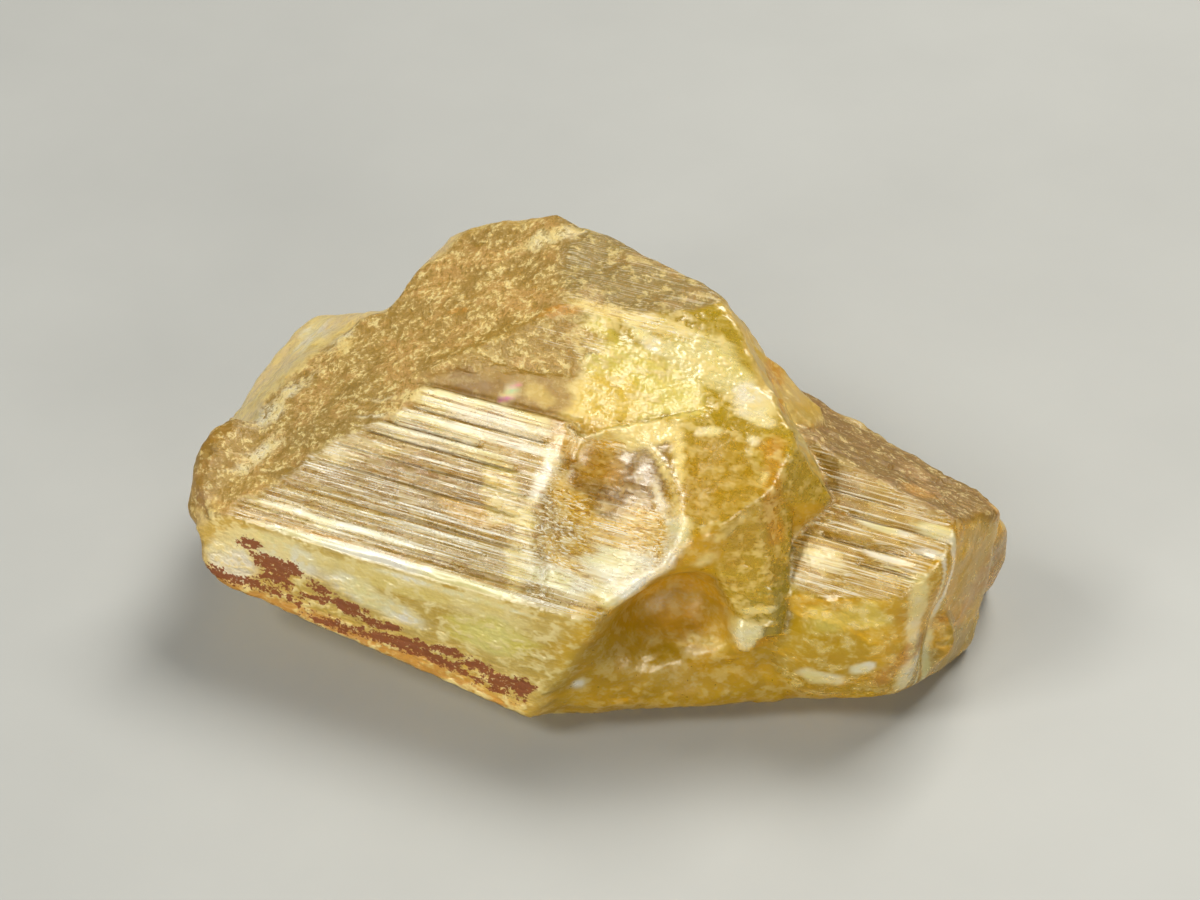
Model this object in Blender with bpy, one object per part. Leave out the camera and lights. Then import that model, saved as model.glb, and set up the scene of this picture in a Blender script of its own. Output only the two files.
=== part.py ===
"""Richterite crystal: one broken, striated amphibole prism lying on a flat worn spot.

The long axis of the crystal (its c axis, along which every striation runs) is +X, +Y is
the far side and +Z is up. Lengths are written in millimetres and angles in degrees, and
MM turns lengths into metres when a shape is made.

The crystal is one solid. It starts as a many-sided block, other growths that are part of
the same crystal are joined to it, and then the hollows, steps and the resting spot are
cut away.
"""

import math
from typing import NamedTuple

import bmesh
import bpy
import numpy as np
from mathutils import Euler, Matrix, Vector

MM = 0.001
NAME = "richterite_crystal"
ROUGH_SIZE = 80.0
SEED = 23

# Colour of the stone and how it shines.
STONE_COLOUR = (0.80, 0.56, 0.20, 1.0)
STONE_ROUGHNESS = 0.28
CUTTER_COLOUR = (0.5, 0.5, 0.5, 1.0)


class Facet(NamedTuple):
    """A flat face: a point on it, the direction it looks towards in plan, and its tilt.

    An azimuth of 0 looks along +X and 90 along +Y. A dip of 0 is a level top, 90 is an
    upright wall and 180 a level underside.
    """

    point: tuple
    azimuth: float
    dip: float


class Ball(NamedTuple):
    """An egg shape: its centre, its three half lengths and its turns about X, Y and Z."""

    centre: tuple
    half: tuple
    turn: tuple


class Ledge(NamedTuple):
    """A strip sunk into a prism face: from and to along X, from and to up the slope, depth."""

    start: float
    end: float
    low: float
    high: float
    depth: float


# The two prism faces of the near side, which meet in an edge parallel to X.
PRISM_DIP = 48.0
PRISM_EDGE = (0.0, -7.92, 5.5)
STRIATED_FACE = Facet(PRISM_EDGE, -90, PRISM_DIP)
MILKY_FACE = Facet(PRISM_EDGE, -90, 83)

# The main block.
GRAINY_SLOPE = Facet((-3.8, -4.25, 9.6), -144.5, 31.6)
TOP_FACE = Facet((-0.5, -1.9, 12.1), -108, 11.5)
BLOCK = {
    "striated_face": STRIATED_FACE,
    "milky_face": MILKY_FACE,
    "near_undercut": Facet((1.5, -8.3, 1.0), -109, 154),
    "left_undercut": Facet((-9.9, -8.2, 3.0), -140, 128),
    "grainy_slope": GRAINY_SLOPE,
    "upper_ridge": Facet((-9.1, -2.3, 7.6), -175, 40),
    "lower_ridge": Facet((-10.0, -5.5, 6.05), -163, 52),
    "left_end": Facet((-10.35, -8.1, 4.0), -162, 95),
    "far_left_end": Facet((-11.9, -1.5, 5.4), 165, 84),
    "top_face": TOP_FACE,
    "golden_plate": Facet((4.25, -5.0, 8.75), -81, 43.7),
    "right_break": Facet((5.7, -2.0, 12.1), 37, 65),
    "plate_end": Facet((7.05, -4.25, 9.6), -28, 76),
    "lip_end": Facet((5.4, -6.25, 7.4), -39, 106),
    "lip_front": Facet((3.95, -7.35, 6.15), -42, 97),
    "far_slope_left": Facet((-4.45, 1.9, 11.45), 113, 47),
    "far_slope_right": Facet((1.2, 0.55, 12.7), 73, 48),
    "far_prism_upper": Facet((0.0, 5.6, 5.0), 90, 80),
    "far_prism_lower": Facet((0.0, 5.6, 5.0), 90, 103),
}

# The lower growth on the right, whose near face is parallel to the striated face.
RIGHT_FACE = Facet((10.0, -2.9, 7.0), -90, PRISM_DIP)
RIGHT_GROWTH = {
    "right_face": RIGHT_FACE,
    "golden_front": Facet((8.35, -4.3, 5.45), -83, 91),
    "brown_shoulder": Facet((7.05, -1.25, 8.85), 61, 27.5),
    "right_end": Facet((12.7, -2.9, 7.05), -6, 67),
    "shoulder_back": Facet((9.25, 1.85, 6.85), 72, 87),
    "right_corner": Facet((12.1, -2.6, 1.0), -42, 94),
    "right_wall": Facet((12.5, -0.3, 1.0), -15, 95),
    "inner_wall": Facet((6.6, -4.5, 3.0), -160, 90),
    "inner_back": Facet((0.0, 4.8, 3.0), 90, 90),
}

# The thin tip at the far right.
TIP = {
    "tip_shoulder": Facet((7.05, -1.25, 8.75), 61, 27.5),
    "tip_top": Facet((11.35, 2.2, 5.4), -12, 38),
    "tip_end": Facet((13.35, 3.0, 3.5), -15, 80),
    "tip_wall": Facet((12.8, 1.0, 1.05), -8, 97),
    "tip_corner": Facet((12.45, 1.7, 2.6), -24, 106),
    "tip_back": Facet((11.8, 2.55, 5.25), 85, 66),
    "tip_front": Facet((9.0, -1.6, 5.0), -80, 90),
    "tip_root": Facet((10.0, 0.0, 0.0), 180, 90),
}

# An upright slab behind the right break, and the low body under the amber hollow.
SLAB = {
    "slab_top": Facet((5.35, 0.7, 9.8), 27, 42),
    "slab_front": Facet((6.7, -0.7, 8.6), -80, 65),
    "slab_right": Facet((7.2, 0.6, 8.3), 5, 85),
    "slab_back": Facet((5.8, 0.9, 9.3), 70, 70),
    "slab_root": Facet((4.0, 0.0, 3.0), 180, 90),
    "slab_foot": Facet((7.0, 0.0, 4.0), 0, 180),
}
APRON = {
    "apron_front": Facet((7.5, -4.9, 1.0), -61, 88),
    "apron_top": Facet((7.0, -5.0, 4.6), -60, 20),
    "apron_back": Facet((0.0, 0.0, 3.0), 90, 90),
    "apron_right": Facet((10.2, 0.0, 3.0), 0, 90),
    "apron_left": Facet((2.4, 0.0, 3.0), 180, 90),
}

# Small plates that stand out of the low body, and one pointed tooth.
PLATES = {
    "plates_front": Facet((6.75, -4.75, 8.0), -69, 79),
    "plates_top": Facet((4.25, -4.85, 8.6), -81, 43.7),
    "plates_end": Facet((6.95, -4.2, 9.45), -28, 76),
    "plates_left": Facet((6.0, -5.3, 6.5), -160, 96),
    "plates_right": Facet((8.0, -4.3, 6.5), 22, 93),
    "plates_foot": Facet((7.2, -5.5, 4.2), -64, 152),
    "plates_root": Facet((7.5, -2.5, 5.0), 90, 90),
}
TOOTH = {
    "tooth_front": Facet((7.0, -5.65, 4.1), -68, 74),
    "tooth_left": Facet((6.75, -5.5, 4.1), -160, 112),
    "tooth_right": Facet((7.45, -5.3, 4.1), 25, 116),
    "tooth_top": Facet((7.1, -5.3, 4.75), -66, 25),
    "tooth_root": Facet((7.3, -4.6, 4.2), 114, 90),
}

# Rounded growths joined to the crystal.
BROWN_LUMP = Ball((-10.45, -6.1, 5.25), (0.9, 1.2, 1.85), (-43, 0, 0))
GOLDEN_BELLY = Ball((9.3, -2.75, 3.0), (3.5, 1.75, 2.6), (0, 0, 18))

# Shell-shaped hollows where pieces broke off.
SILKY_HOLLOW = Ball((2.9, -6.5, 8.4), (2.75, 3.25, 1.4), (PRISM_DIP, 0, 0))
AMBER_HOLLOW = Ball((4.9, -6.1, 4.6), (1.9, 1.9, 1.8), (0, 0, 0))
UPPER_HOLLOW = Ball((2.55, -5.55, 9.3), (1.75, 1.65, 1.2), (PRISM_DIP, 0, 0))
APRON_HOLLOW = Ball((6.0, -6.75, 2.3), (2.6, 1.2, 1.6), (0, 0, 29))
CORNER_GROOVE = Ball((12.35, -2.65, 3.0), (0.55, 0.6, 2.4), (0, 0, 48))
FAR_HOLLOW = Ball((-3.0, 6.9, 6.8), (2.9, 1.9, 2.3), (0, 0, -8))

# The step at the upper left, open to the left, to the back and upwards.
LEFT_STEP = {
    "step_wall": Facet((-6.8, 0.55, 9.85), -12, 89),
    "step_floor": Facet((-7.1, -0.9, 9.15), -80, 136),
    "step_left": Facet((-30.0, 0.0, 0.0), 180, 90),
    "step_far": Facet((0.0, 30.0, 0.0), 90, 90),
    "step_up": Facet((0.0, 0.0, 30.0), 0, 0),
}

# The upper part of the striated face is broken down to a floor that sinks towards the
# middle. It is cut in two halves that meet at one line across the face.
BROKEN_FLOOR = Facet((-0.3, -1.95, 12.15), 91, 124)
BROKEN_LID = Facet((2.9, -8.8, 10.5), -90, PRISM_DIP)
AMBER_WINDOW = {
    "floor": BROKEN_FLOOR,
    "window_sill": Facet((-1.5, -4.25, 9.6), -88.5, 138),
    "window_right": Facet((0.72, -3.4, 10.6), 11, 78),
    "lid": BROKEN_LID,
    "window_left": Facet((-5.6, -4.0, 9.85), -169, 102),
    "window_far": Facet((-1.55, -0.4, 13.9), 99, 42),
}
BROKEN_AREA = {
    "floor": BROKEN_FLOOR,
    "broken_sill": Facet((2.85, -3.9, 10.0), -53, 132),
    "broken_left": Facet((0.6, -3.4, 10.6), -169, 102),
    "lid": BROKEN_LID,
    "broken_right": Facet((8.6, -1.65, 12.5), 10, 79),
    "broken_far": Facet((1.95, -0.2, 14.1), 97, 42),
}

# The underside: a level resting spot and two worn slopes on the near and right edges.
RESTING_SPOT = Facet((0.0, 0.0, 0.0), 0, 180)
NEAR_WORN_EDGE = Facet((7.5, -4.9, 1.0), -61, 140)
RIGHT_WORN_EDGE = Facet((12.1, -1.8, 1.1), -35, 135)

# Steps along the striations. Heights are measured up the slope from the prism edge.
STRIATED_LEDGES = (
    Ledge(-5.30, -1.95, 4.10, 4.32, 0.22),
    Ledge(-5.55, -0.10, 3.66, 3.82, 0.20),
    Ledge(-4.30, 0.20, 4.72, 4.86, 0.14),
    Ledge(-6.60, 0.35, 3.02, 3.14, 0.10),
    Ledge(-7.60, 0.10, 2.38, 2.52, 0.12),
    Ledge(-8.40, 0.30, 1.36, 1.56, 0.14),
    Ledge(-8.80, -0.60, 0.96, 1.06, 0.10),
    Ledge(-9.20, 1.10, 0.24, 0.46, 0.16),
    Ledge(-0.60, 1.90, 7.95, 8.20, 0.16),
)
# Heights are measured up the slope from the point that names the right face.
RIGHT_LEDGES = (
    Ledge(9.30, 13.4, 0.58, 0.74, 0.14),
    Ledge(8.60, 11.4, -0.22, -0.02, 0.18),
    Ledge(11.1, 13.6, 0.02, 0.20, 0.12),
    Ledge(9.60, 13.8, -0.78, -0.58, 0.16),
    Ledge(7.80, 10.8, 1.20, 1.36, 0.12),
)
# Heights are measured up the slope from the far prism edge.
FAR_LEDGES = (
    Ledge(-8.0, 1.5, 0.60, 0.95, 0.22),
    Ledge(-3.5, 4.5, 1.60, 1.85, 0.18),
    Ledge(-8.5, -1.0, 2.40, 2.60, 0.16),
    Ledge(-1.0, 5.5, 2.95, 3.30, 0.24),
)
LEDGE_LID = 1.0

# Low lumps and pits of the grainy slope, scattered inside four corners (x, y), and
# bigger lumps along the ridge to its left.
SLOPE_CORNERS = ((-8.9, -6.3), (-3.3, -2.9), (-2.6, 1.2), (-6.2, 0.9))
RIDGE_CORNERS = ((-10.3, -6.0), (-9.6, -4.8), (-9.0, -1.2), (-10.4, -1.4))
SLOPE_LUMPS = 15
SLOPE_PITS = 7
RIDGE_LUMPS = 8
SLOPE_LUMP_SIZE = (1.3, 2.4)
SLOPE_LUMP_RISE = (0.07, 0.15)
RIDGE_LUMP_SIZE = (1.1, 1.7)
RIDGE_LUMP_RISE = (0.14, 0.24)
# A lump is an egg shape whose centre lies below the face by four times its rise, and
# whose half height is five times the rise.
LUMP_SUNK = 4.0
LUMP_HALF = 5.0
LUMP_NARROWEST = 0.6
LUMP_WIDEST = 0.95
# How close a corner may lie to a cutting plane and still count as on it, in metres.
ON_PLANE = 1e-8


def clear_scene():
    """Takes every object out of the scene."""
    for obj in list(bpy.data.objects):
        bpy.data.objects.remove(obj, do_unlink=True)


def new_collection(name, parent):
    """Makes a collection inside the parent one."""
    made = bpy.data.collections.new(name)
    parent.children.link(made)
    return made


def material_of(name, colour, roughness):
    """Makes a plain material with a colour and a roughness."""
    made = bpy.data.materials.new(name)
    made.use_nodes = True
    shader = made.node_tree.nodes["Principled BSDF"]
    shader.inputs["Base Color"].default_value = colour
    shader.inputs["Roughness"].default_value = roughness
    shader.inputs["Metallic"].default_value = 0.0
    made.diffuse_color = colour
    return made


def normal_of(facet):
    """Unit vector that the facet looks along."""
    azimuth = math.radians(facet.azimuth)
    dip = math.radians(facet.dip)
    level = math.sin(dip)
    return Vector((level * math.cos(azimuth), level * math.sin(azimuth), math.cos(dip)))


def object_from(name, shape, collection, material, helper=True):
    """Turns an edit mesh into an object. A helper isn't rendered and shows as wires."""
    bmesh.ops.recalc_face_normals(shape, faces=shape.faces)
    mesh = bpy.data.meshes.new(name)
    shape.to_mesh(mesh)
    shape.free()
    made = bpy.data.objects.new(name, mesh)
    mesh.materials.append(material)
    collection.objects.link(made)
    if helper:
        made.hide_render = True
        made.display_type = "WIRE"
    return made


def many_sided(facets):
    """A rough cube cut down to the inside of all the facets."""
    shape = bmesh.new()
    bmesh.ops.create_cube(shape, size=ROUGH_SIZE * MM)
    for facet in facets:
        cut = bmesh.ops.bisect_plane(
            shape,
            geom=shape.verts[:] + shape.edges[:] + shape.faces[:],
            dist=ON_PLANE,
            plane_co=Vector(facet.point) * MM,
            plane_no=normal_of(facet),
            clear_outer=True,
        )
        rim = [item for item in cut["geom_cut"] if isinstance(item, bmesh.types.BMEdge)]
        if rim:
            bmesh.ops.edgeloop_fill(shape, edges=rim)
    return shape


def beyond(facet):
    """A big cube that lies wholly on the outer side of the facet."""
    shape = bmesh.new()
    turn = normal_of(facet).to_track_quat("Z", "Y").to_matrix().to_4x4()
    lift = Matrix.Translation((0, 0, ROUGH_SIZE * MM / 2))
    place = Matrix.Translation(Vector(facet.point) * MM) @ turn @ lift
    bmesh.ops.create_cube(shape, size=ROUGH_SIZE * MM, matrix=place)
    return shape


def egg(ball, segments=40, rings=20):
    """An egg shape as a fine ball, stretched and turned."""
    shape = bmesh.new()
    turn = Euler([math.radians(angle) for angle in ball.turn]).to_matrix().to_4x4()
    stretch = Matrix.Diagonal((*ball.half, 1.0 / MM)) * MM
    place = Matrix.Translation(Vector(ball.centre) * MM) @ turn @ stretch
    bmesh.ops.create_uvsphere(
        shape, u_segments=segments, v_segments=rings, radius=1.0, matrix=place
    )
    return shape


def slope_frame(point, facing, dip):
    """Frame of a prism face: X along the striations, Z out of the face.

    Facing is 1 for a near face, whose Y then runs up the slope, and -1 for a far face,
    whose Y runs down it.
    """
    turn = Matrix.Rotation(math.radians(dip * facing), 4, "X")
    return Matrix.Translation(Vector(point) * MM) @ turn


def ledge_box(ledge, frame, facing):
    """The box that sinks one ledge into a prism face."""
    size = (ledge.end - ledge.start, ledge.high - ledge.low, ledge.depth + LEDGE_LID)
    middle = (
        (ledge.start + ledge.end) / 2,
        facing * (ledge.low + ledge.high) / 2,
        (LEDGE_LID - ledge.depth) / 2,
    )
    shape = bmesh.new()
    place = frame @ Matrix.Translation(Vector(middle) * MM)
    place = place @ Matrix.Diagonal((*(side * MM for side in size), 1.0))
    bmesh.ops.create_cube(shape, size=1.0, matrix=place)
    return shape


def spot_inside(corners, along, across):
    """Point inside four corners given in order round them."""
    low = np.array(corners[0]) * (1 - along) + np.array(corners[1]) * along
    high = np.array(corners[3]) * (1 - along) + np.array(corners[2]) * along
    return low * (1 - across) + high * across


def scattered_balls(rng, count, corners, facet, sizes, rises, outwards):
    """Flat egg shapes that stand a little out of a facet, or sink into it as pits."""
    normal = normal_of(facet)
    flat = normal.to_track_quat("Z", "Y").to_matrix()
    made = []
    for index in range(count):
        along = (index + rng.uniform(0.2, 0.8)) / count
        x, y = spot_inside(corners, along, rng.uniform(0.04, 0.96))
        base = Vector(facet.point)
        level = (base.x - x) * normal.x + (base.y - y) * normal.y
        z = base.z + level / normal.z
        size = rng.uniform(*sizes)
        rise = rng.uniform(*rises)
        narrow = size * rng.uniform(LUMP_NARROWEST, LUMP_WIDEST)
        sunk = LUMP_SUNK * rise * outwards
        centre = Vector((x, y, z)) - normal * sunk
        spin = Matrix.Rotation(rng.uniform(0, math.pi), 3, "Z")
        turn = (flat @ spin).to_euler()
        degrees = tuple(math.degrees(angle) for angle in turn)
        made.append(Ball(tuple(centre), (size, narrow, LUMP_HALF * rise), degrees))
    return made


def join(target, other):
    """Joins another solid to the target."""
    modifier = target.modifiers.new("join " + other.name, "BOOLEAN")
    modifier.operation = "UNION"
    modifier.solver = "EXACT"
    modifier.object = other


def cut(target, other):
    """Cuts another solid out of the target."""
    modifier = target.modifiers.new("cut " + other.name, "BOOLEAN")
    modifier.operation = "DIFFERENCE"
    modifier.solver = "EXACT"
    modifier.object = other


def build():
    """Makes the crystal and its helpers."""
    clear_scene()
    visible = new_collection(NAME, bpy.context.scene.collection)
    helpers = new_collection(NAME + "_cutters", bpy.context.scene.collection)
    stone = material_of("golden richterite", STONE_COLOUR, STONE_ROUGHNESS)
    plain = material_of("helper", CUTTER_COLOUR, STONE_ROUGHNESS)
    rng = np.random.default_rng(SEED)

    crystal = object_from("crystal", many_sided(BLOCK.values()), visible, stone, helper=False)

    growths = {
        "right growth": many_sided(RIGHT_GROWTH.values()),
        "tip": many_sided(TIP.values()),
        "slab": many_sided(SLAB.values()),
        "apron": many_sided(APRON.values()),
        "plates": many_sided(PLATES.values()),
        "tooth": many_sided(TOOTH.values()),
        "brown lump": egg(BROWN_LUMP),
        "golden belly": egg(GOLDEN_BELLY),
    }
    slope_lumps = scattered_balls(
        rng, SLOPE_LUMPS, SLOPE_CORNERS, GRAINY_SLOPE, SLOPE_LUMP_SIZE, SLOPE_LUMP_RISE, 1
    )
    slope_pits = scattered_balls(
        rng, SLOPE_PITS, SLOPE_CORNERS, GRAINY_SLOPE, SLOPE_LUMP_SIZE, SLOPE_LUMP_RISE, -1
    )
    ridge = BLOCK["lower_ridge"]
    ridge_lumps = scattered_balls(
        rng, RIDGE_LUMPS, RIDGE_CORNERS, ridge, RIDGE_LUMP_SIZE, RIDGE_LUMP_RISE, 1
    )
    for number, ball in enumerate(slope_lumps + ridge_lumps):
        growths[f"lump {number}"] = egg(ball, segments=18, rings=10)
    for name, shape in growths.items():
        join(crystal, object_from(name, shape, helpers, plain))

    hollows = {
        "left step": many_sided(LEFT_STEP.values()),
        "amber window": many_sided(AMBER_WINDOW.values()),
        "broken area": many_sided(BROKEN_AREA.values()),
        "silky hollow": egg(SILKY_HOLLOW, segments=48, rings=24),
        "upper hollow": egg(UPPER_HOLLOW),
        "amber hollow": egg(AMBER_HOLLOW),
        "apron hollow": egg(APRON_HOLLOW),
        "far hollow": egg(FAR_HOLLOW),
        "corner groove": egg(CORNER_GROOVE, segments=24, rings=16),
    }
    for number, ball in enumerate(slope_pits):
        hollows[f"pit {number}"] = egg(ball, segments=18, rings=10)
    near = slope_frame(PRISM_EDGE, 1, PRISM_DIP)
    right = slope_frame((0.0, *RIGHT_FACE.point[1:]), 1, PRISM_DIP)
    far_face = BLOCK["far_prism_upper"]
    far = slope_frame(far_face.point, -1, far_face.dip)
    for number, ledge in enumerate(STRIATED_LEDGES):
        hollows[f"striated ledge {number}"] = ledge_box(ledge, near, 1)
    for number, ledge in enumerate(RIGHT_LEDGES):
        hollows[f"right ledge {number}"] = ledge_box(ledge, right, 1)
    for number, ledge in enumerate(FAR_LEDGES):
        hollows[f"far ledge {number}"] = ledge_box(ledge, far, -1)
    hollows["near worn edge"] = beyond(NEAR_WORN_EDGE)
    hollows["right worn edge"] = beyond(RIGHT_WORN_EDGE)
    hollows["below resting spot"] = beyond(RESTING_SPOT)
    for name, shape in hollows.items():
        cut(crystal, object_from(name, shape, helpers, plain))


build()
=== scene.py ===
"""Looks of a loose richterite crystal: its broken skin, its finish, a floor, lights and a camera.

Lengths are in millimetres and angles in degrees until a mesh is written, where MM turns them
into metres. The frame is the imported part's: +X runs along the crystal's long axis and all its
striations, +Y is the far side and +Z is up, and the stone rests on z = 0.
"""

import logging
import math
from collections.abc import Sequence
from dataclasses import dataclass, field
from enum import IntEnum

import bpy
import numpy as np
from mathutils import Euler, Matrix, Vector

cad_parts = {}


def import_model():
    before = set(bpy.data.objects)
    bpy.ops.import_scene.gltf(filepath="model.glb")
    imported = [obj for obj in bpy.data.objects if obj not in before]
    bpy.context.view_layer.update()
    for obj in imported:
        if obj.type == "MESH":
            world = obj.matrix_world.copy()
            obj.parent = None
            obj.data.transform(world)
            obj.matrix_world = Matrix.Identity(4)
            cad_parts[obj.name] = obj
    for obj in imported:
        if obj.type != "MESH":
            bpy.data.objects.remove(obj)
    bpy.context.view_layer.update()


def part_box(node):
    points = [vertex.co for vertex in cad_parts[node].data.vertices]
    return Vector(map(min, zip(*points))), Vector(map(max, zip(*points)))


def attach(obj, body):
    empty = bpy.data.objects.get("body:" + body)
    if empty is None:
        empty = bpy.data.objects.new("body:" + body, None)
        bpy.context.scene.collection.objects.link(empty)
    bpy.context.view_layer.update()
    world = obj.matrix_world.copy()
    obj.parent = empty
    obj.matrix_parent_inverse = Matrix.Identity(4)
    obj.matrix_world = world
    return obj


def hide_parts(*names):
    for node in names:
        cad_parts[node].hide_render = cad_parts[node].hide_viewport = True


MM = 0.001
NODE = "crystal"
BODY = "root"

# A distance past everything, the least divisor, and a gap that counts as none.
FAR_AWAY = 1.0e6
TINY = 1.0e-9
TOUCHING = 1.0e-6

Colour = tuple[float, float, float]
Place = tuple[float, float, float]
Side = tuple[Place, float, float]
Feed = bpy.types.NodeSocket | float | Colour

log = logging.getLogger("richterite")


def seen_as(red: int, green: int, blue: int) -> Colour:
    """Turns a colour as a screen shows it, 0 to 255, into the linear colour that a shader takes.

    Args:
        red: Red as shown.
        green: Green as shown.
        blue: Blue as shown.

    Returns:
        The three linear parts, 0 to 1.
    """
    shown = (red / 255.0, green / 255.0, blue / 255.0)
    return tuple(
        part / 12.92 if part <= 0.04045 else ((part + 0.055) / 1.055) ** 2.4 for part in shown
    )


class Zone(IntEnum):
    """The kinds of surface that the stone shows."""

    STRIATED = 0
    MILKY = 1
    GRAINY = 2
    RIDGE = 3
    TOP = 4
    BROKEN = 5
    WINDOW = 6
    PLATE = 7
    SILKY = 8
    AMBER = 9
    LOW = 10
    BELLY = 11
    RIGHT = 12
    SHOULDER = 13
    TIP = 14
    SLAB = 15
    LUMP = 16
    FAR = 17
    LIP = 18
    REST = 19


# Noise on whole arrays. Each function takes points as an array whose last axis holds X, Y and Z.

# What brings a sum of noises back to about -1 to 1, and how much flat chips lean.
ROUGH_GAIN = 0.7
CHIP_TILT = 1.6

def hashed(cells: np.ndarray, seed: int) -> np.ndarray:
    """Even random numbers, one for each whole-number cell.

    The three numbers of a cell are weighted with large primes, added to the seed and stirred by
    shifts and products that keep 32 bits.

    Args:
        cells: Whole numbers, with X, Y and Z along the last axis.
        seed: Chooses one of many patterns.

    Returns:
        Numbers from 0 to 1, without the last axis.
    """
    keep = 0xFFFFFFFF
    mixed = (cells @ np.array([73856093, 19349663, 83492791]) + seed * 2654435761) & keep
    mixed = ((mixed ^ (mixed >> 15)) * 0x2C1B3C6D) & keep
    mixed = ((mixed ^ (mixed >> 12)) * 0x297A2D39) & keep
    mixed = mixed ^ (mixed >> 15)
    return mixed / float(keep)


def smooth_noise(points: np.ndarray, seed: int) -> np.ndarray:
    """Value noise: random numbers at whole-number corners, blended with 3f² - 2f³ between them.

    Args:
        points: Places, one unit being the size of a lump.
        seed: Chooses the pattern.

    Returns:
        Numbers from -1 to 1.
    """
    base = np.floor(points).astype(np.int64)
    part = points - base
    weight = part * part * (3.0 - 2.0 * part)
    total = np.zeros(points.shape[:-1])
    for corner in range(8):
        step = np.array([corner & 1, (corner >> 1) & 1, (corner >> 2) & 1])
        share = np.prod(np.where(step == 1, weight, 1.0 - weight), axis=-1)
        total += share * hashed(base + step, seed)
    return 2.0 * total - 1.0


def rough_noise(points: np.ndarray, seed: int, octaves: int = 3) -> np.ndarray:
    """Sum of smooth noises, each half as large and half as high as the one before.

    Args:
        points: Places, one unit being the size of the largest lump.
        seed: Chooses the pattern.
        octaves: How many noises are added.

    Returns:
        Numbers from about -1 to 1.
    """
    total = np.zeros(points.shape[:-1])
    for octave in range(octaves):
        total += smooth_noise(points * 2.0**octave, seed + octave) * 0.5**octave
    return total * ROUGH_GAIN


def chipped_noise(points: np.ndarray, seed: int) -> np.ndarray:
    """Height of tilted flat chips.

    A point belongs to the nearest of the centres scattered one to a cell. Its height is the
    chip's own level plus its distance from the centre along the chip's own random tilt.

    Args:
        points: Places, one unit being the size of a chip.
        seed: Chooses the pattern.

    Returns:
        Numbers from about -1 to 1.
    """
    base = np.floor(points).astype(np.int64)
    nearest = np.full(points.shape[:-1], FAR_AWAY)
    height = np.zeros(points.shape[:-1])
    for number in range(27):
        step = np.array([number % 3, (number // 3) % 3, number // 9]) - 1
        cell = base + step
        centre = np.stack([hashed(cell, seed + axis) for axis in range(3)], axis=-1)
        tilt = np.stack([hashed(cell, seed + 3 + axis) for axis in range(3)], axis=-1) - 0.5
        gap = points - cell - centre
        away = np.sum(gap * gap, axis=-1)
        level = hashed(cell, seed + 6) - 0.5 + CHIP_TILT * np.sum(gap * tilt, axis=-1)
        height = np.where(away < nearest, level, height)
        nearest = np.minimum(away, nearest)
    return height


def faded(value: np.ndarray, low: float, high: float) -> np.ndarray:
    """Runs smoothly from 0 at low to 1 at high, as 3f² - 2f³ of the share of the way."""
    share = np.clip((value - low) / (high - low), 0.0, 1.0)
    return share * share * (3.0 - 2.0 * share)


# Solids that a fan of rays meets.

# Usual rounding of an edge, and the number of wears past which a plane no longer rounds it.
WEAR = 0.03
MOST_WEARS = 60.0

@dataclass(frozen=True)
class Rays:
    """A fan of rays, as arrays whose last axis holds X, Y and Z.

    Attributes:
        start: Where each ray starts.
        way: The unit direction that it runs in.
    """

    start: np.ndarray
    way: np.ndarray

    def at(self, distance: np.ndarray) -> np.ndarray:
        """Points that lie the given distance along the rays."""
        return self.start + self.way * distance[..., None]


@dataclass(frozen=True)
class Span:
    """Where the rays are inside a solid.

    Attributes:
        enter: Distance at which each ray comes in.
        leave: Distance at which it goes out again.
        zone_in: Zone of the face that it comes in by.
        zone_out: Zone of the face that it goes out by.
    """

    enter: np.ndarray
    leave: np.ndarray
    zone_in: np.ndarray
    zone_out: np.ndarray


@dataclass(frozen=True)
class Facet:
    """A flat face: a point on it, the direction it looks towards in plan, its tilt and kind.

    An azimuth of 0 looks along +X and 90 along +Y. A dip of 0 is a level top, 90 is an upright
    wall and 180 a level underside.
    """

    point: Place
    azimuth: float
    dip: float
    zone: Zone

    def normal(self) -> np.ndarray:
        """Unit vector that the face looks along."""
        azimuth = math.radians(self.azimuth)
        dip = math.radians(self.dip)
        level = math.sin(dip)
        return np.array([level * math.cos(azimuth), level * math.sin(azimuth), math.cos(dip)])

    def meet(self, rays: Rays) -> tuple[np.ndarray, np.ndarray]:
        """Distance at which each ray crosses the face's plane, and its run along the normal."""
        normal = self.normal()
        run = rays.way @ normal
        run = np.where(np.abs(run) < TINY, TINY, run)
        return ((np.array(self.point) - rays.start) @ normal) / run, run


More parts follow.
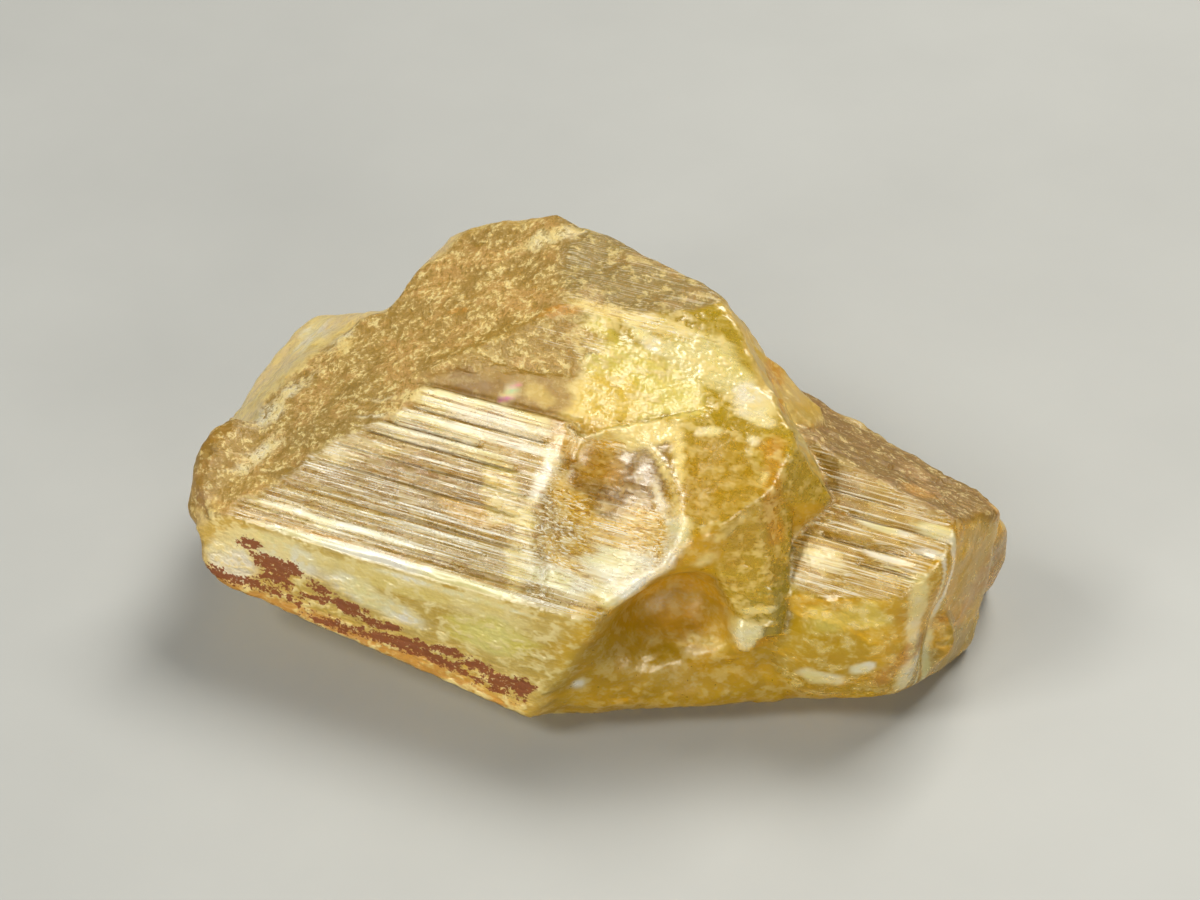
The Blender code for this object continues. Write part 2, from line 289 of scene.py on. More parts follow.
@dataclass(frozen=True)
class Growth:
    """The inside of a set of facets.

    Attributes:
        facets: Its flat faces.
        wear: How far its edges are rounded off.
    """

    facets: tuple[Facet, ...]
    wear: float = WEAR

    @classmethod
    def of(cls, zone: Zone, *sides: Side, wear: float = WEAR) -> "Growth":
        """A growth whose facets are all of one zone.

        Args:
            zone: Their zone.
            sides: Point, azimuth and dip of each facet.
            wear: How far the edges are rounded off.

        Returns:
            The growth.
        """
        return cls(tuple(Facet(*side, zone) for side in sides), wear)

    def span(self, rays: Rays) -> Span:
        """Where the rays are inside.

        A ray enters at the last plane that it crosses inwards. It leaves at the first that it
        crosses outwards, less wear times the logarithm of the sum of exp(-gap / wear) over the
        planes, which rounds the edges. Gaps of more than MOST_WEARS wears count as that many.

        Args:
            rays: The fan.

        Returns:
            The span, empty where a ray misses.
        """
        met = [facet.meet(rays) for facet in self.facets]
        inwards = np.stack([np.where(run < 0, far, -FAR_AWAY) for far, run in met])
        outwards = np.stack([np.where(run > 0, far, FAR_AWAY) for far, run in met])
        zones = np.array([int(facet.zone) for facet in self.facets])
        enter = inwards.max(axis=0)
        leave = outwards.min(axis=0)
        missed = enter >= leave
        gaps = np.minimum((outwards - leave) / self.wear, MOST_WEARS)
        leave = leave - self.wear * np.log(np.exp(-gaps).sum(axis=0))
        return Span(
            np.where(missed, FAR_AWAY, enter),
            np.where(missed, FAR_AWAY, leave),
            zones[inwards.argmax(axis=0)],
            zones[outwards.argmin(axis=0)],
        )


@dataclass(frozen=True)
class Egg:
    """An egg shape: its centre, half lengths, turns about X, Y and Z, and kind of surface."""

    centre: Place
    half: Place
    turn: Place
    zone: Zone

    def span(self, rays: Rays) -> Span:
        """Where the rays are inside: the two roots of the ball's equation in its own frame.

        Args:
            rays: The fan.

        Returns:
            The span, empty where a ray misses.
        """
        turn = np.array(Euler([math.radians(angle) for angle in self.turn]).to_matrix())
        start = ((rays.start - np.array(self.centre)) @ turn) / np.array(self.half)
        way = (rays.way @ turn) / np.array(self.half)
        square = np.sum(way * way, axis=-1)
        middle = np.sum(way * start, axis=-1)
        rest = middle * middle - square * (np.sum(start * start, axis=-1) - 1.0)
        root = np.sqrt(np.maximum(rest, 0.0))
        missed = rest <= 0.0
        zone = np.full(missed.shape, int(self.zone))
        return Span(
            np.where(missed, FAR_AWAY, (-middle - root) / square),
            np.where(missed, FAR_AWAY, (-middle + root) / square),
            zone,
            zone,
        )


# The stone's faces. The two near prism faces meet in an edge parallel to X.

PRISM_DIP = 48.0
PRISM_EDGE = (0.0, -7.92, 5.5)
RIGHT_POINT = (10.0, -2.9, 7.0)

BLOCK = Growth(
    (
        Facet(PRISM_EDGE, -90, PRISM_DIP, Zone.STRIATED),
        Facet(PRISM_EDGE, -90, 83, Zone.MILKY),
        Facet((1.5, -8.3, 1.0), -109, 154, Zone.MILKY),
        Facet((-9.9, -8.2, 3.0), -140, 128, Zone.MILKY),
        Facet((-3.8, -4.25, 9.6), -144.5, 31.6, Zone.GRAINY),
        Facet((-9.1, -2.3, 7.6), -175, 40, Zone.RIDGE),
        Facet((-10.0, -5.5, 6.05), -163, 52, Zone.RIDGE),
        Facet((-10.35, -8.1, 4.0), -162, 95, Zone.LUMP),
        Facet((-11.9, -1.5, 5.4), 165, 84, Zone.FAR),
        Facet((-0.5, -1.9, 12.1), -108, 11.5, Zone.TOP),
        Facet((4.25, -5.0, 8.75), -81, 43.7, Zone.PLATE),
        Facet((5.7, -2.0, 12.1), 37, 65, Zone.SLAB),
        Facet((7.05, -4.25, 9.6), -28, 76, Zone.PLATE),
        Facet((5.4, -6.25, 7.4), -39, 106, Zone.LOW),
        Facet((3.95, -7.35, 6.15), -42, 97, Zone.LOW),
        Facet((-4.45, 1.9, 11.45), 113, 47, Zone.FAR),
        Facet((1.2, 0.55, 12.7), 73, 48, Zone.TOP),
        Facet((0.0, 5.6, 5.0), 90, 80, Zone.FAR),
        Facet((0.0, 5.6, 5.0), 90, 103, Zone.FAR),
    )
)
RIGHT_GROWTH = Growth(
    (
        Facet(RIGHT_POINT, -90, PRISM_DIP, Zone.RIGHT),
        Facet((8.35, -4.3, 5.45), -83, 91, Zone.BELLY),
        Facet((7.05, -1.25, 8.85), 61, 27.5, Zone.SHOULDER),
        Facet((12.7, -2.9, 7.05), -6, 67, Zone.TIP),
        Facet((9.25, 1.85, 6.85), 72, 87, Zone.FAR),
        Facet((12.1, -2.6, 1.0), -42, 94, Zone.BELLY),
        Facet((12.5, -0.3, 1.0), -15, 95, Zone.BELLY),
        Facet((6.6, -4.5, 3.0), -160, 90, Zone.BELLY),
        Facet((0.0, 4.8, 3.0), 90, 90, Zone.FAR),
    ),
    wear=0.06,
)
TIP = Growth(
    (
        Facet((7.05, -1.25, 8.75), 61, 27.5, Zone.SHOULDER),
        Facet((11.35, 2.2, 5.4), -12, 38, Zone.TIP),
        Facet((13.35, 3.0, 3.5), -15, 80, Zone.TIP),
        Facet((12.8, 1.0, 1.05), -8, 97, Zone.TIP),
        Facet((12.45, 1.7, 2.6), -24, 106, Zone.TIP),
        Facet((11.8, 2.55, 5.25), 85, 66, Zone.TIP),
        Facet((9.0, -1.6, 5.0), -80, 90, Zone.TIP),
        Facet((10.0, 0.0, 0.0), 180, 90, Zone.TIP),
    ),
    wear=0.08,
)
SLAB = Growth.of(
    Zone.SLAB,
    ((5.35, 0.7, 9.8), 27, 42),
    ((6.7, -0.7, 8.6), -80, 65),
    ((7.2, 0.6, 8.3), 5, 85),
    ((5.8, 0.9, 9.3), 70, 70),
    ((4.0, 0.0, 3.0), 180, 90),
    ((7.0, 0.0, 4.0), 0, 180),
    wear=0.06,
)
APRON = Growth.of(
    Zone.LOW,
    ((7.5, -4.9, 1.0), -61, 88),
    ((7.0, -5.0, 4.6), -60, 20),
    ((0.0, 0.0, 3.0), 90, 90),
    ((10.2, 0.0, 3.0), 0, 90),
    ((2.4, 0.0, 3.0), 180, 90),
    wear=0.08,
)
PLATES = Growth.of(
    Zone.PLATE,
    ((6.75, -4.75, 8.0), -69, 79),
    ((4.25, -4.85, 8.6), -81, 43.7),
    ((6.95, -4.2, 9.45), -28, 76),
    ((6.0, -5.3, 6.5), -160, 96),
    ((8.0, -4.3, 6.5), 22, 93),
    ((7.2, -5.5, 4.2), -64, 152),
    ((7.5, -2.5, 5.0), 90, 90),
)
TOOTH = Growth.of(
    Zone.LIP,
    ((7.0, -5.65, 4.1), -68, 74),
    ((6.75, -5.5, 4.1), -160, 112),
    ((7.45, -5.3, 4.1), 25, 116),
    ((7.1, -5.3, 4.75), -66, 25),
    ((7.3, -4.6, 4.2), 114, 90),
)
BROWN_LUMP = Egg((-10.45, -6.1, 5.25), (0.9, 1.2, 1.85), (-43, 0, 0), Zone.LUMP)
GOLDEN_BELLY = Egg((9.3, -2.75, 3.0), (3.5, 1.75, 2.6), (0, 0, 18), Zone.BELLY)

LEFT_STEP = Growth.of(
    Zone.RIDGE,
    ((-6.8, 0.55, 9.85), -12, 89),
    ((-7.1, -0.9, 9.15), -80, 136),
    ((-30.0, 0.0, 0.0), 180, 90),
    ((0.0, 30.0, 0.0), 90, 90),
    ((0.0, 0.0, 30.0), 0, 0),
)
BROKEN_FLOOR = ((-0.3, -1.95, 12.15), 91, 124)
BROKEN_LID = ((2.9, -8.8, 10.5), -90, PRISM_DIP)
AMBER_WINDOW = Growth.of(
    Zone.WINDOW,
    BROKEN_FLOOR,
    ((-1.5, -4.25, 9.6), -88.5, 138),
    ((0.72, -3.4, 10.6), 11, 78),
    BROKEN_LID,
    ((-5.6, -4.0, 9.85), -169, 102),
    ((-1.55, -0.4, 13.9), 99, 42),
)
BROKEN_AREA = Growth.of(
    Zone.BROKEN,
    BROKEN_FLOOR,
    ((2.85, -3.9, 10.0), -53, 132),
    ((0.6, -3.4, 10.6), -169, 102),
    BROKEN_LID,
    ((8.6, -1.65, 12.5), 10, 79),
    ((1.95, -0.2, 14.1), 97, 42),
)
SILKY_HOLLOW = Egg((2.9, -6.5, 8.4), (2.75, 3.25, 1.4), (PRISM_DIP, 0, 0), Zone.SILKY)
UPPER_HOLLOW = Egg((2.55, -5.55, 9.3), (1.75, 1.65, 1.2), (PRISM_DIP, 0, 0), Zone.SILKY)
AMBER_HOLLOW = Egg((4.9, -6.1, 4.6), (1.9, 1.9, 1.8), (0, 0, 0), Zone.AMBER)
APRON_HOLLOW = Egg((6.0, -6.75, 2.3), (2.6, 1.2, 1.6), (0, 0, 29), Zone.LOW)
CORNER_GROOVE = Egg((12.35, -2.65, 3.0), (0.55, 0.6, 2.4), (0, 0, 48), Zone.BELLY)
FAR_HOLLOW = Egg((-3.0, 6.9, 6.8), (2.9, 1.9, 2.3), (0, 0, -8), Zone.FAR)
NEAR_WORN_EDGE = Facet((7.5, -4.9, 1.0), -61, 140, Zone.LOW)
RIGHT_WORN_EDGE = Facet((12.1, -1.8, 1.1), -35, 135, Zone.BELLY)
RESTING_SPOT = Facet((0.0, 0.0, 0.0), 0, 180, Zone.REST)


@dataclass(frozen=True)
class StoneShape:
    """The stone as solids joined together, less its hollows and what was worn off below.

    Attributes:
        joined: The solids.
        hollows: What is taken out of them.
        worn: Planes that limit what is left.
        passes: How often a ray's end may move in before it counts as found.
    """

    joined: tuple[Growth | Egg, ...] = (
        BLOCK,
        RIGHT_GROWTH,
        TIP,
        SLAB,
        APRON,
        PLATES,
        TOOTH,
        BROWN_LUMP,
        GOLDEN_BELLY,
    )
    hollows: tuple[Growth | Egg, ...] = (
        LEFT_STEP,
        AMBER_WINDOW,
        BROKEN_AREA,
        SILKY_HOLLOW,
        UPPER_HOLLOW,
        AMBER_HOLLOW,
        APRON_HOLLOW,
        CORNER_GROOVE,
        FAR_HOLLOW,
    )
    worn: tuple[Facet, ...] = (NEAR_WORN_EDGE, RIGHT_WORN_EDGE, RESTING_SPOT)
    passes: int = 8

    def surface(self, rays: Rays) -> tuple[np.ndarray, np.ndarray]:
        """Last place where each ray leaves the stone.

        The search starts where the ray leaves the furthest solid. Where that lies in a hollow
        it moves in to where the ray entered the hollow, and where no solid holds that place it
        moves in to the next one out of a solid, as often as passes says. The worn planes then
        limit it.

        Args:
            rays: The fan, which starts inside the stone.

        Returns:
            The distance along each ray, and the zone of the surface there.
        """
        solids = [solid.span(rays) for solid in self.joined]
        holes = [hollow.span(rays) for hollow in self.hollows]
        reach, zone = self._next_out(solids, np.full(rays.way.shape[:-1], FAR_AWAY))
        for _ in range(self.passes):
            for hole in holes:
                inside = (hole.enter < reach) & (hole.leave >= reach - TOUCHING)
                zone = np.where(inside, hole.zone_in, zone)
                reach = np.where(inside, hole.enter, reach)
            held = np.zeros(reach.shape, bool)
            for solid in solids:
                held |= (solid.enter <= reach) & (solid.leave >= reach - TOUCHING)
            inner, inner_zone = self._next_out(solids, reach)
            reach = np.where(held, reach, inner)
            zone = np.where(held, zone, inner_zone)
        for facet in self.worn:
            far, run = facet.meet(rays)
            limit = np.where(run > 0, far, FAR_AWAY)
            zone = np.where(limit < reach, int(facet.zone), zone)
            reach = np.minimum(reach, limit)
        return reach, zone

    @staticmethod
    def _next_out(solids: list[Span], below: np.ndarray) -> tuple[np.ndarray, np.ndarray]:
        """Furthest way out of a solid that is nearer than a limit.

        Args:
            solids: The spans of the joined solids.
            below: The limit, one distance for each ray.

        Returns:
            The distance, 0 where there is none, and the zone there.
        """
        reach = np.zeros(below.shape)
        zone = np.full(below.shape, int(Zone.REST))
        for solid in solids:
            further = (solid.leave < below) & (solid.leave > reach) & (solid.leave < FAR_AWAY)
            zone = np.where(further, solid.zone_out, zone)
            reach = np.where(further, solid.leave, reach)
        return reach, zone


# Points in which the two curves that space the rows and the columns are drawn.
ELLIPSE_STEPS = 2001
CROWDING_STEPS = 4001


def even_shares(places: np.ndarray, weight: np.ndarray, shares: np.ndarray) -> np.ndarray:
    """Places up to which the area below a curve comes to given shares of its whole.

    Args:
        places: Even steps along the curve.
        weight: The curve's height at each.
        shares: The shares, 0 to 1.

    Returns:
        One place for each share.
    """
    walked = np.concatenate([[0.0], np.cumsum((weight[1:] + weight[:-1]) / 2)])
    return np.interp(shares, walked / walked[-1], places)


@dataclass(frozen=True)
class Fan:
    """Rays fanned out from a line inside the stone that runs parallel to X.

    A column is the plane that leaves the line at one angle, so it cuts every prism face in a
    line parallel to the striations. Rows run from the -X end to the +X end. Columns lie closer
    together where the near side shows most.

    Attributes:
        axis: Y and Z of the line.
        middle: X of its middle.
        half: Half its length.
        rows: How many rows lie between the two end points.
        columns: How many columns go round.
        girth: Usual distance of the surface from the line, for even rows.
        angles: Angles up from the near side, in order round the line.
        crowding: How close the columns lie at each of those angles.
    """

    axis: tuple[float, float] = (-1.0, 3.0)
    middle: float = 0.5
    half: float = 9.0
    rows: int = 232
    columns: int = 420
    girth: float = 6.0
    angles: tuple[float, ...] = (-42, -30, 10, 19, 96, 108, 140, 170, 318)
    crowding: tuple[float, ...] = (0.7, 1.1, 1.4, 2.3, 2.3, 1.3, 1.0, 0.5, 0.5)

    def rays(self) -> Rays:
        """The fan, rows by columns.

        Rows are even steps along the ellipse that is half plus girth long and girth wide.

        Returns:
            The rays, from the -X end on.
        """
        fine = np.linspace(0.0, math.pi, ELLIPSE_STEPS)
        along = np.hypot((self.half + self.girth) * np.sin(fine), self.girth * np.cos(fine))
        steps = np.linspace(0.0, 1.0, self.rows + 2)[1:-1]
        lean = math.pi - even_shares(fine, along, steps)
        turn = np.radians(self._column_angles())
        ahead, out = np.cos(lean)[:, None], np.sin(lean)[:, None]
        flat = np.ones_like(turn)[None, :]
        way = np.stack([ahead * flat, -out * np.cos(turn), out * np.sin(turn)], axis=-1)
        start = np.zeros_like(way)
        start[..., 0] = self.middle + self.half * ahead
        start[..., 1] = self.axis[0]
        start[..., 2] = self.axis[1]
        return Rays(start, way)

    def _column_angles(self) -> np.ndarray:
        """Angles that split the area below the crowding curve into even shares."""
        fine = np.linspace(self.angles[0], self.angles[-1], CROWDING_STEPS)
        close = np.interp(fine, self.angles, self.crowding)
        return even_shares(fine, close, np.arange(self.columns) / self.columns)

    def ends(self) -> Rays:
        """The two rays that run along the line itself, to -X and to +X."""
        start = np.array(
            [[self.middle - self.half, *self.axis], [self.middle + self.half, *self.axis]]
        )
        return Rays(start, np.array([[-1.0, 0.0, 0.0], [1.0, 0.0, 0.0]]))


# What each kind of surface looks like.


@dataclass(frozen=True)
class Skin:
    """Finish of one kind of surface.

    Attributes:
        colour: Colour of the stone there.
        dull: Roughness, from 0 for glassy to 1 for dusty.
        lines: How strong the silky lines along X are.
        grain: How strong the grainy coat is.
        veil: How strong the white sparkling breaks are.
        lump: Size and height of its rounded lumps.
        chip: Size and height of its flat chips.
        ridge: Height of its ridges along X.
        melt: How far its edges and hollows are rounded off, from 0 to 1.
    """

    colour: Colour
    dull: float
    lines: float = 0.0
    grain: float = 0.0
    veil: float = 0.1
    lump: tuple[float, float] = (1.5, 0.03)
    chip: tuple[float, float] = (1.0, 0.0)
    ridge: float = 0.0
    melt: float = 0.0


GOLD = seen_as(246, 200, 44)
STRAW = seen_as(240, 216, 120)
CREAM = seen_as(248, 232, 172)
WHITE = seen_as(255, 252, 240)
SILVER = seen_as(250, 242, 212)
TAN = seen_as(200, 160, 88)
BROWN = seen_as(166, 122, 56)
AMBER = seen_as(206, 160, 24)
DEEP_AMBER = seen_as(154, 106, 4)
GREENISH = seen_as(238, 228, 138)
OLIVE = seen_as(160, 130, 40)
ORANGE = seen_as(204, 148, 50)
PINKISH = seen_as(236, 190, 132)
RUST = seen_as(134, 64, 0)

SKINS = {
    Zone.STRIATED: Skin(seen_as(178, 150, 62), 0.27, lines=1.0, ridge=0.030),
    Zone.MILKY: Skin(
        seen_as(214, 186, 96), 0.34, lines=0.1, grain=0.12, veil=1.0, lump=(0.9, 0.05)
    ),
    Zone.GRAINY: Skin(seen_as(184, 154, 92), 0.66, grain=1.0, lump=(1.3, 0.16), chip=(0.6, 0.03)),
    # The ridge's pale colour is partly its own whitish tone and partly painted light falling on it
    # from behind.
    Zone.RIDGE: Skin(
        seen_as(244, 226, 186), 0.40, grain=0.3, veil=0.8, lump=(1.2, 0.16), melt=1.0
    ),
    Zone.TOP: Skin(seen_as(138, 122, 66), 0.62, lines=0.4, grain=0.5, veil=0.3, lump=(1.3, 0.16)),
    Zone.BROKEN: Skin(GREENISH, 0.34, lines=0.15, veil=1.0, lump=(1.0, 0.06), chip=(0.75, 0.11)),
    Zone.WINDOW: Skin(seen_as(160, 124, 0), 0.5, veil=0.1, lump=(1.4, 0.05)),
    Zone.PLATE: Skin(
        seen_as(180, 156, 30), 0.28, lines=0.05, veil=0.55, lump=(1.6, 0.06), chip=(1.4, 0.03)
    ),
    Zone.SILKY: Skin(
        seen_as(226, 188, 78), 0.28, lines=0.9, veil=0.25, lump=(1.4, 0.05), ridge=0.035
    ),
    # The amber hollow's, low body's and belly's golds are partly the stone's own colour and partly
    # a painted glow of light shining through from behind.
    Zone.AMBER: Skin(seen_as(212, 166, 0), 0.5, veil=0.2, lump=(0.8, 0.10), melt=1.0),
    Zone.LOW: Skin(
        seen_as(206, 166, 0), 0.32, veil=0.25, lump=(1.3, 0.10), chip=(1.0, 0.05), melt=1.0
    ),
    Zone.BELLY: Skin(
        seen_as(210, 172, 16), 0.24, grain=0.05, veil=0.4, lump=(1.8, 0.16), melt=1.0
    ),
    Zone.RIGHT: Skin(seen_as(196, 166, 84), 0.25, lines=0.85, lump=(1.5, 0.05), ridge=0.05),
    Zone.SHOULDER: Skin(
        seen_as(142, 106, 50), 0.62, grain=0.6, lump=(1.1, 0.14), chip=(0.8, 0.08), melt=0.5
    ),
    Zone.TIP: Skin(seen_as(198, 156, 36), 0.26, veil=0.3, lump=(1.6, 0.14), melt=1.0),
    Zone.SLAB: Skin(
        seen_as(214, 190, 126), 0.36, veil=0.4, lump=(1.0, 0.10), chip=(0.7, 0.08), melt=0.6
    ),
    Zone.LUMP: Skin(seen_as(164, 128, 44), 0.48, grain=0.6, lump=(0.9, 0.16), melt=0.7),
    Zone.FAR: Skin(
        seen_as(226, 196, 112), 0.40, lines=0.7, veil=0.5, lump=(1.6, 0.10), ridge=0.05, melt=0.4
    ),
    Zone.LIP: Skin(seen_as(252, 244, 206), 0.26, lines=0.2, veil=0.4, lump=(1.0, 0.05)),
    Zone.REST: Skin(seen_as(228, 194, 96), 0.5, lump=(1.0, 0.0)),
}
CRISP_RIMS = (Zone.STRIATED, Zone.MILKY, Zone.SILKY, Zone.RIGHT, Zone.LIP, Zone.REST)


def blended(share: np.ndarray, name: str) -> np.ndarray:
    """Mean of one value of the skins at each point, weighted with the shares of the zones.

    Args:
        share: How much of each zone a point has, zones first.
        name: Name of the value in Skin.

    Returns:
        One value for each point.
    """
    values = np.array([getattr(SKINS[zone], name) for zone in Zone])
    return np.tensordot(share, values, axes=(0, 0))


@dataclass
class Surface:
    """The stone's surface while it is worked out, rows by columns.

    Attributes:
        place: Points in millimetres.
        rays: The rays that they lie on.
        reach: Distance along the rays.
        share: How much of each zone a point has, zones first.
    """

    place: np.ndarray
    rays: Rays
    reach: np.ndarray
    share: np.ndarray

    def upslope(self) -> np.ndarray:
        """Height of each point up the striated face from the prism edge, below 0 under it."""
        above = (self.place[..., 1] - PRISM_EDGE[1]) / math.cos(math.radians(PRISM_DIP))
        below = self.place[..., 2] - PRISM_EDGE[2]
        return np.where(self.share[Zone.MILKY] > 0.5, np.minimum(below, above), above)

    def right_upslope(self) -> np.ndarray:
        """Height of each point up the right face from the point that names it."""
        return (self.place[..., 1] - RIGHT_POINT[1]) / math.cos(math.radians(PRISM_DIP))

    def outward(self) -> np.ndarray:
        """Unit normals, from the cross product of the steps between rows and columns."""
        down = np.gradient(self.place, axis=0)
        wide = np.concatenate([self.place[:, -1:], self.place, self.place[:, :1]], axis=1)
        across = np.gradient(wide, axis=1)[:, 1:-1]
        normal = np.cross(across, down)
        length = np.linalg.norm(normal, axis=-1, keepdims=True)
        normal = normal / np.maximum(length, TINY)
        facing = np.sign(np.sum(normal * self.rays.way, axis=-1, keepdims=True))
        return normal * np.where(facing == 0, 1.0, facing)

    def raise_by(self, height: np.ndarray, least: float = 0.4) -> None:
        """Moves points along their rays by the height they gain across the surface.

        Args:
            height: Height above the old surface.
            least: Least run along the normal that a ray is taken to have.
        """
        run = np.maximum(np.sum(self.outward() * self.rays.way, axis=-1), least)
        self.reach = self.reach + height / run
        self.place = self.rays.at(self.reach)


def spread(grid: np.ndarray, across: int, along: int) -> np.ndarray:
    """Averages each point with its neighbours, a quarter each and a half of its own.

    Args:
        grid: One number for each row and column, zones first if there are any.
        across: How often that is done round the columns, which close in a ring.
        along: How often it is done along the rows.

    Returns:
        The smoothed numbers.
    """
    for _ in range(across):
        grid = (np.roll(grid, 1, -1) + 2.0 * grid + np.roll(grid, -1, -1)) / 4.0
    for _ in range(along):
        padded = np.concatenate([grid[..., :1, :], grid, grid[..., -1:, :]], axis=-2)
        grid = (padded[..., :-2, :] + 2.0 * grid + padded[..., 2:, :]) / 4.0
    return grid


@dataclass(frozen=True)
class Ledge:
    """A strip sunk into a prism face: from and to along X, from and to up the slope, depth.

    The last two values are the lengths over which its ends and its sides fade.
    """

    start: float
    end: float
    low: float
    high: float
    depth: float
    end_fade: float = 0.3
    side_fade: float = 0.03

    def cover(self, along: np.ndarray, up: np.ndarray, ragged: np.ndarray) -> np.ndarray:
        """How much of the strip covers each point.

        Args:
            along: X of the points.
            up: Their height up the slope.
            ragged: Noise that makes the two ends uneven.

        Returns:
            Numbers from 0 to 1, soft at the rims.
        """
        long, soft = self.end_fade, self.side_fade
        ends = faded(along + ragged, self.start, self.start + long)
        ends = ends * faded(-along + ragged, -self.end, -self.end + long)
        sides = faded(up, self.low - soft, self.low + soft)
        return ends * sides * faded(-up, -self.high - soft, -self.high + soft)


STRIATED_LEDGES = (
    Ledge(-5.30, -1.95, 4.10, 4.32, 0.22),
    Ledge(-5.55, -0.10, 3.66, 3.82, 0.20),
    Ledge(-4.30, 0.20, 4.72, 4.86, 0.14),
    Ledge(-6.60, 0.35, 3.02, 3.14, 0.10),
    Ledge(-7.60, 0.10, 2.38, 2.52, 0.12),
    Ledge(-8.40, 0.30, 1.36, 1.56, 0.14),
    Ledge(-8.80, -0.60, 0.96, 1.06, 0.10),
    Ledge(-9.20, 1.10, 0.24, 0.46, 0.16),
)
RIGHT_LEDGES = (
    Ledge(9.30, 13.4, 0.58, 0.74, 0.14),
    Ledge(8.60, 11.4, -0.22, -0.02, 0.18),
    Ledge(11.1, 13.6, 0.02, 0.20, 0.12),
    Ledge(9.60, 13.8, -0.78, -0.58, 0.16),
    Ledge(7.80, 10.8, 1.20, 1.36, 0.12),
)


@dataclass(frozen=True)
class Crack:
    """An open crack that runs down the striated face.

    Attributes:
        path: Its corners, as X and height up the slope.
        depth: How deep it is.
        width: Half its width.
    """

    path: tuple[tuple[float, float], ...] = (
        (0.82, 5.52),
        (1.15, 5.17),
        (1.01, 4.52),
        (0.85, 3.82),
        (0.68, 3.16),
        (0.70, 2.61),
        (0.92, 1.62),
        (1.69, -0.37),
    )
    depth: float = 0.16
    width: float = 0.09

    def away(self, along: np.ndarray, up: np.ndarray) -> np.ndarray:
        """Distance of each point, seen square to the face, from the crack's line.

        Args:
            along: X of the points.
            up: Their height up the slope.

        Returns:
            The distance to the nearest of the straight stretches.
        """
        nearest = np.full(along.shape, FAR_AWAY)
        for (x0, v0), (x1, v1) in zip(self.path[:-1], self.path[1:]):
            length = math.hypot(x1 - x0, v1 - v0)
            run = ((along - x0) * (x1 - x0) + (up - v0) * (v1 - v0)) / length**2
            run = np.clip(run, 0.0, 1.0)
            gap = np.hypot(along - x0 - run * (x1 - x0), up - v0 - run * (v1 - v0))
            nearest = np.minimum(nearest, gap)
        return nearest


@dataclass(frozen=True)
class Relief:
    """Lumps, chips, ridges, ledges and the crack, added to the smooth surface.

    Attributes:
        ridge_wide: Width of the coarsest ridges along X.
        ridge_long: Length over which a ridge changes.
        ridge_levels: Levels that half of a ridge is rounded to, from 0 to its full height.
        fine_chip: Size and height of a second layer of chips, as a share of the first's.
        ledge_ends: Size and strength of the noise that makes the ledges' ends uneven.
        crack: The open crack.
        crack_wander: Size and strength of the noise that makes it wander.
        seed: Chooses all the patterns.
    """

    ridge_wide: float = 0.30
    ridge_long: float = 7.0
    ridge_levels: float = 4.0
    fine_chip: float = 0.4
    ledge_ends: tuple[float, float] = (0.5, 0.35)
    crack: Crack = field(default_factory=Crack)
    crack_wander: tuple[float, float] = (0.4, 0.10)
    seed: int = 7

    def ridges(self, place: np.ndarray) -> np.ndarray:
        """Steps along X: rough noise that is long in X, half of it rounded to a few levels."""
        stretch = np.array([self.ridge_long, self.ridge_wide, self.ridge_wide])
        noise = rough_noise(place / stretch, self.seed + 40)
        return 0.5 * noise + 0.5 * np.round(noise * self.ridge_levels) / self.ridge_levels

    def add_to(self, surface: Surface) -> None:
        """Raises the whole surface by the relief of its zones.

        Args:
            surface: The surface to change.
        """
        place = surface.place
        height = np.zeros(place.shape[:-1])
        for zone, skin in SKINS.items():
            share = surface.share[zone]
            touched = share > 0.01
            spots = place[touched]
            size, rise = skin.lump
            gain = rise * rough_noise(spots / size, self.seed + int(zone))
            size, rise = skin.chip
            if rise > 0:
                gain += rise * chipped_noise(spots / size, self.seed + 20)
                fine = spots / (self.fine_chip * size)
                gain += self.fine_chip * rise * chipped_noise(fine, self.seed + 30)
            if skin.ridge > 0:
                gain += skin.ridge * self.ridges(spots)
            height[touched] += share[touched] * gain
        height -= self._ledges(surface) + self._crack(surface)
        surface.raise_by(height)

    def _ledges(self, surface: Surface) -> np.ndarray:
        """Depth of the ledges in both striated faces, whose sides wander a little."""
        along = surface.place[..., 0]
        size, strength = self.ledge_ends
        ragged = strength * smooth_noise(surface.place / size, self.seed + 50)
        depth = np.zeros(along.shape)
        # Each face's ledges, zone and height, and the size and strength of their wander.
        faces = (
            (STRIATED_LEDGES, Zone.STRIATED, surface.upslope(), 1.2, 0.03),
            (RIGHT_LEDGES, Zone.RIGHT, surface.right_upslope(), 1.0, 0.05),
        )
        for number, (ledges, zone, up, size, strength) in enumerate(faces):
            wander = strength * smooth_noise(surface.place / size, self.seed + 51 + number)
            for ledge in ledges:
                sunk = ledge.depth * ledge.cover(along, up + wander, ragged)
                depth = np.maximum(depth, sunk * surface.share[zone])
        return depth

    def _crack(self, surface: Surface) -> np.ndarray:
        """Depth of the open crack."""
        size, strength = self.crack_wander
        wander = strength * smooth_noise(surface.place / size, self.seed + 60)
        away = self.crack.away(surface.place[..., 0] + wander, surface.upslope())
        near_face = surface.share[Zone.STRIATED] + surface.share[Zone.SILKY]
        return self.crack.depth * (1.0 - faded(away, 0.0, self.crack.width)) * near_face


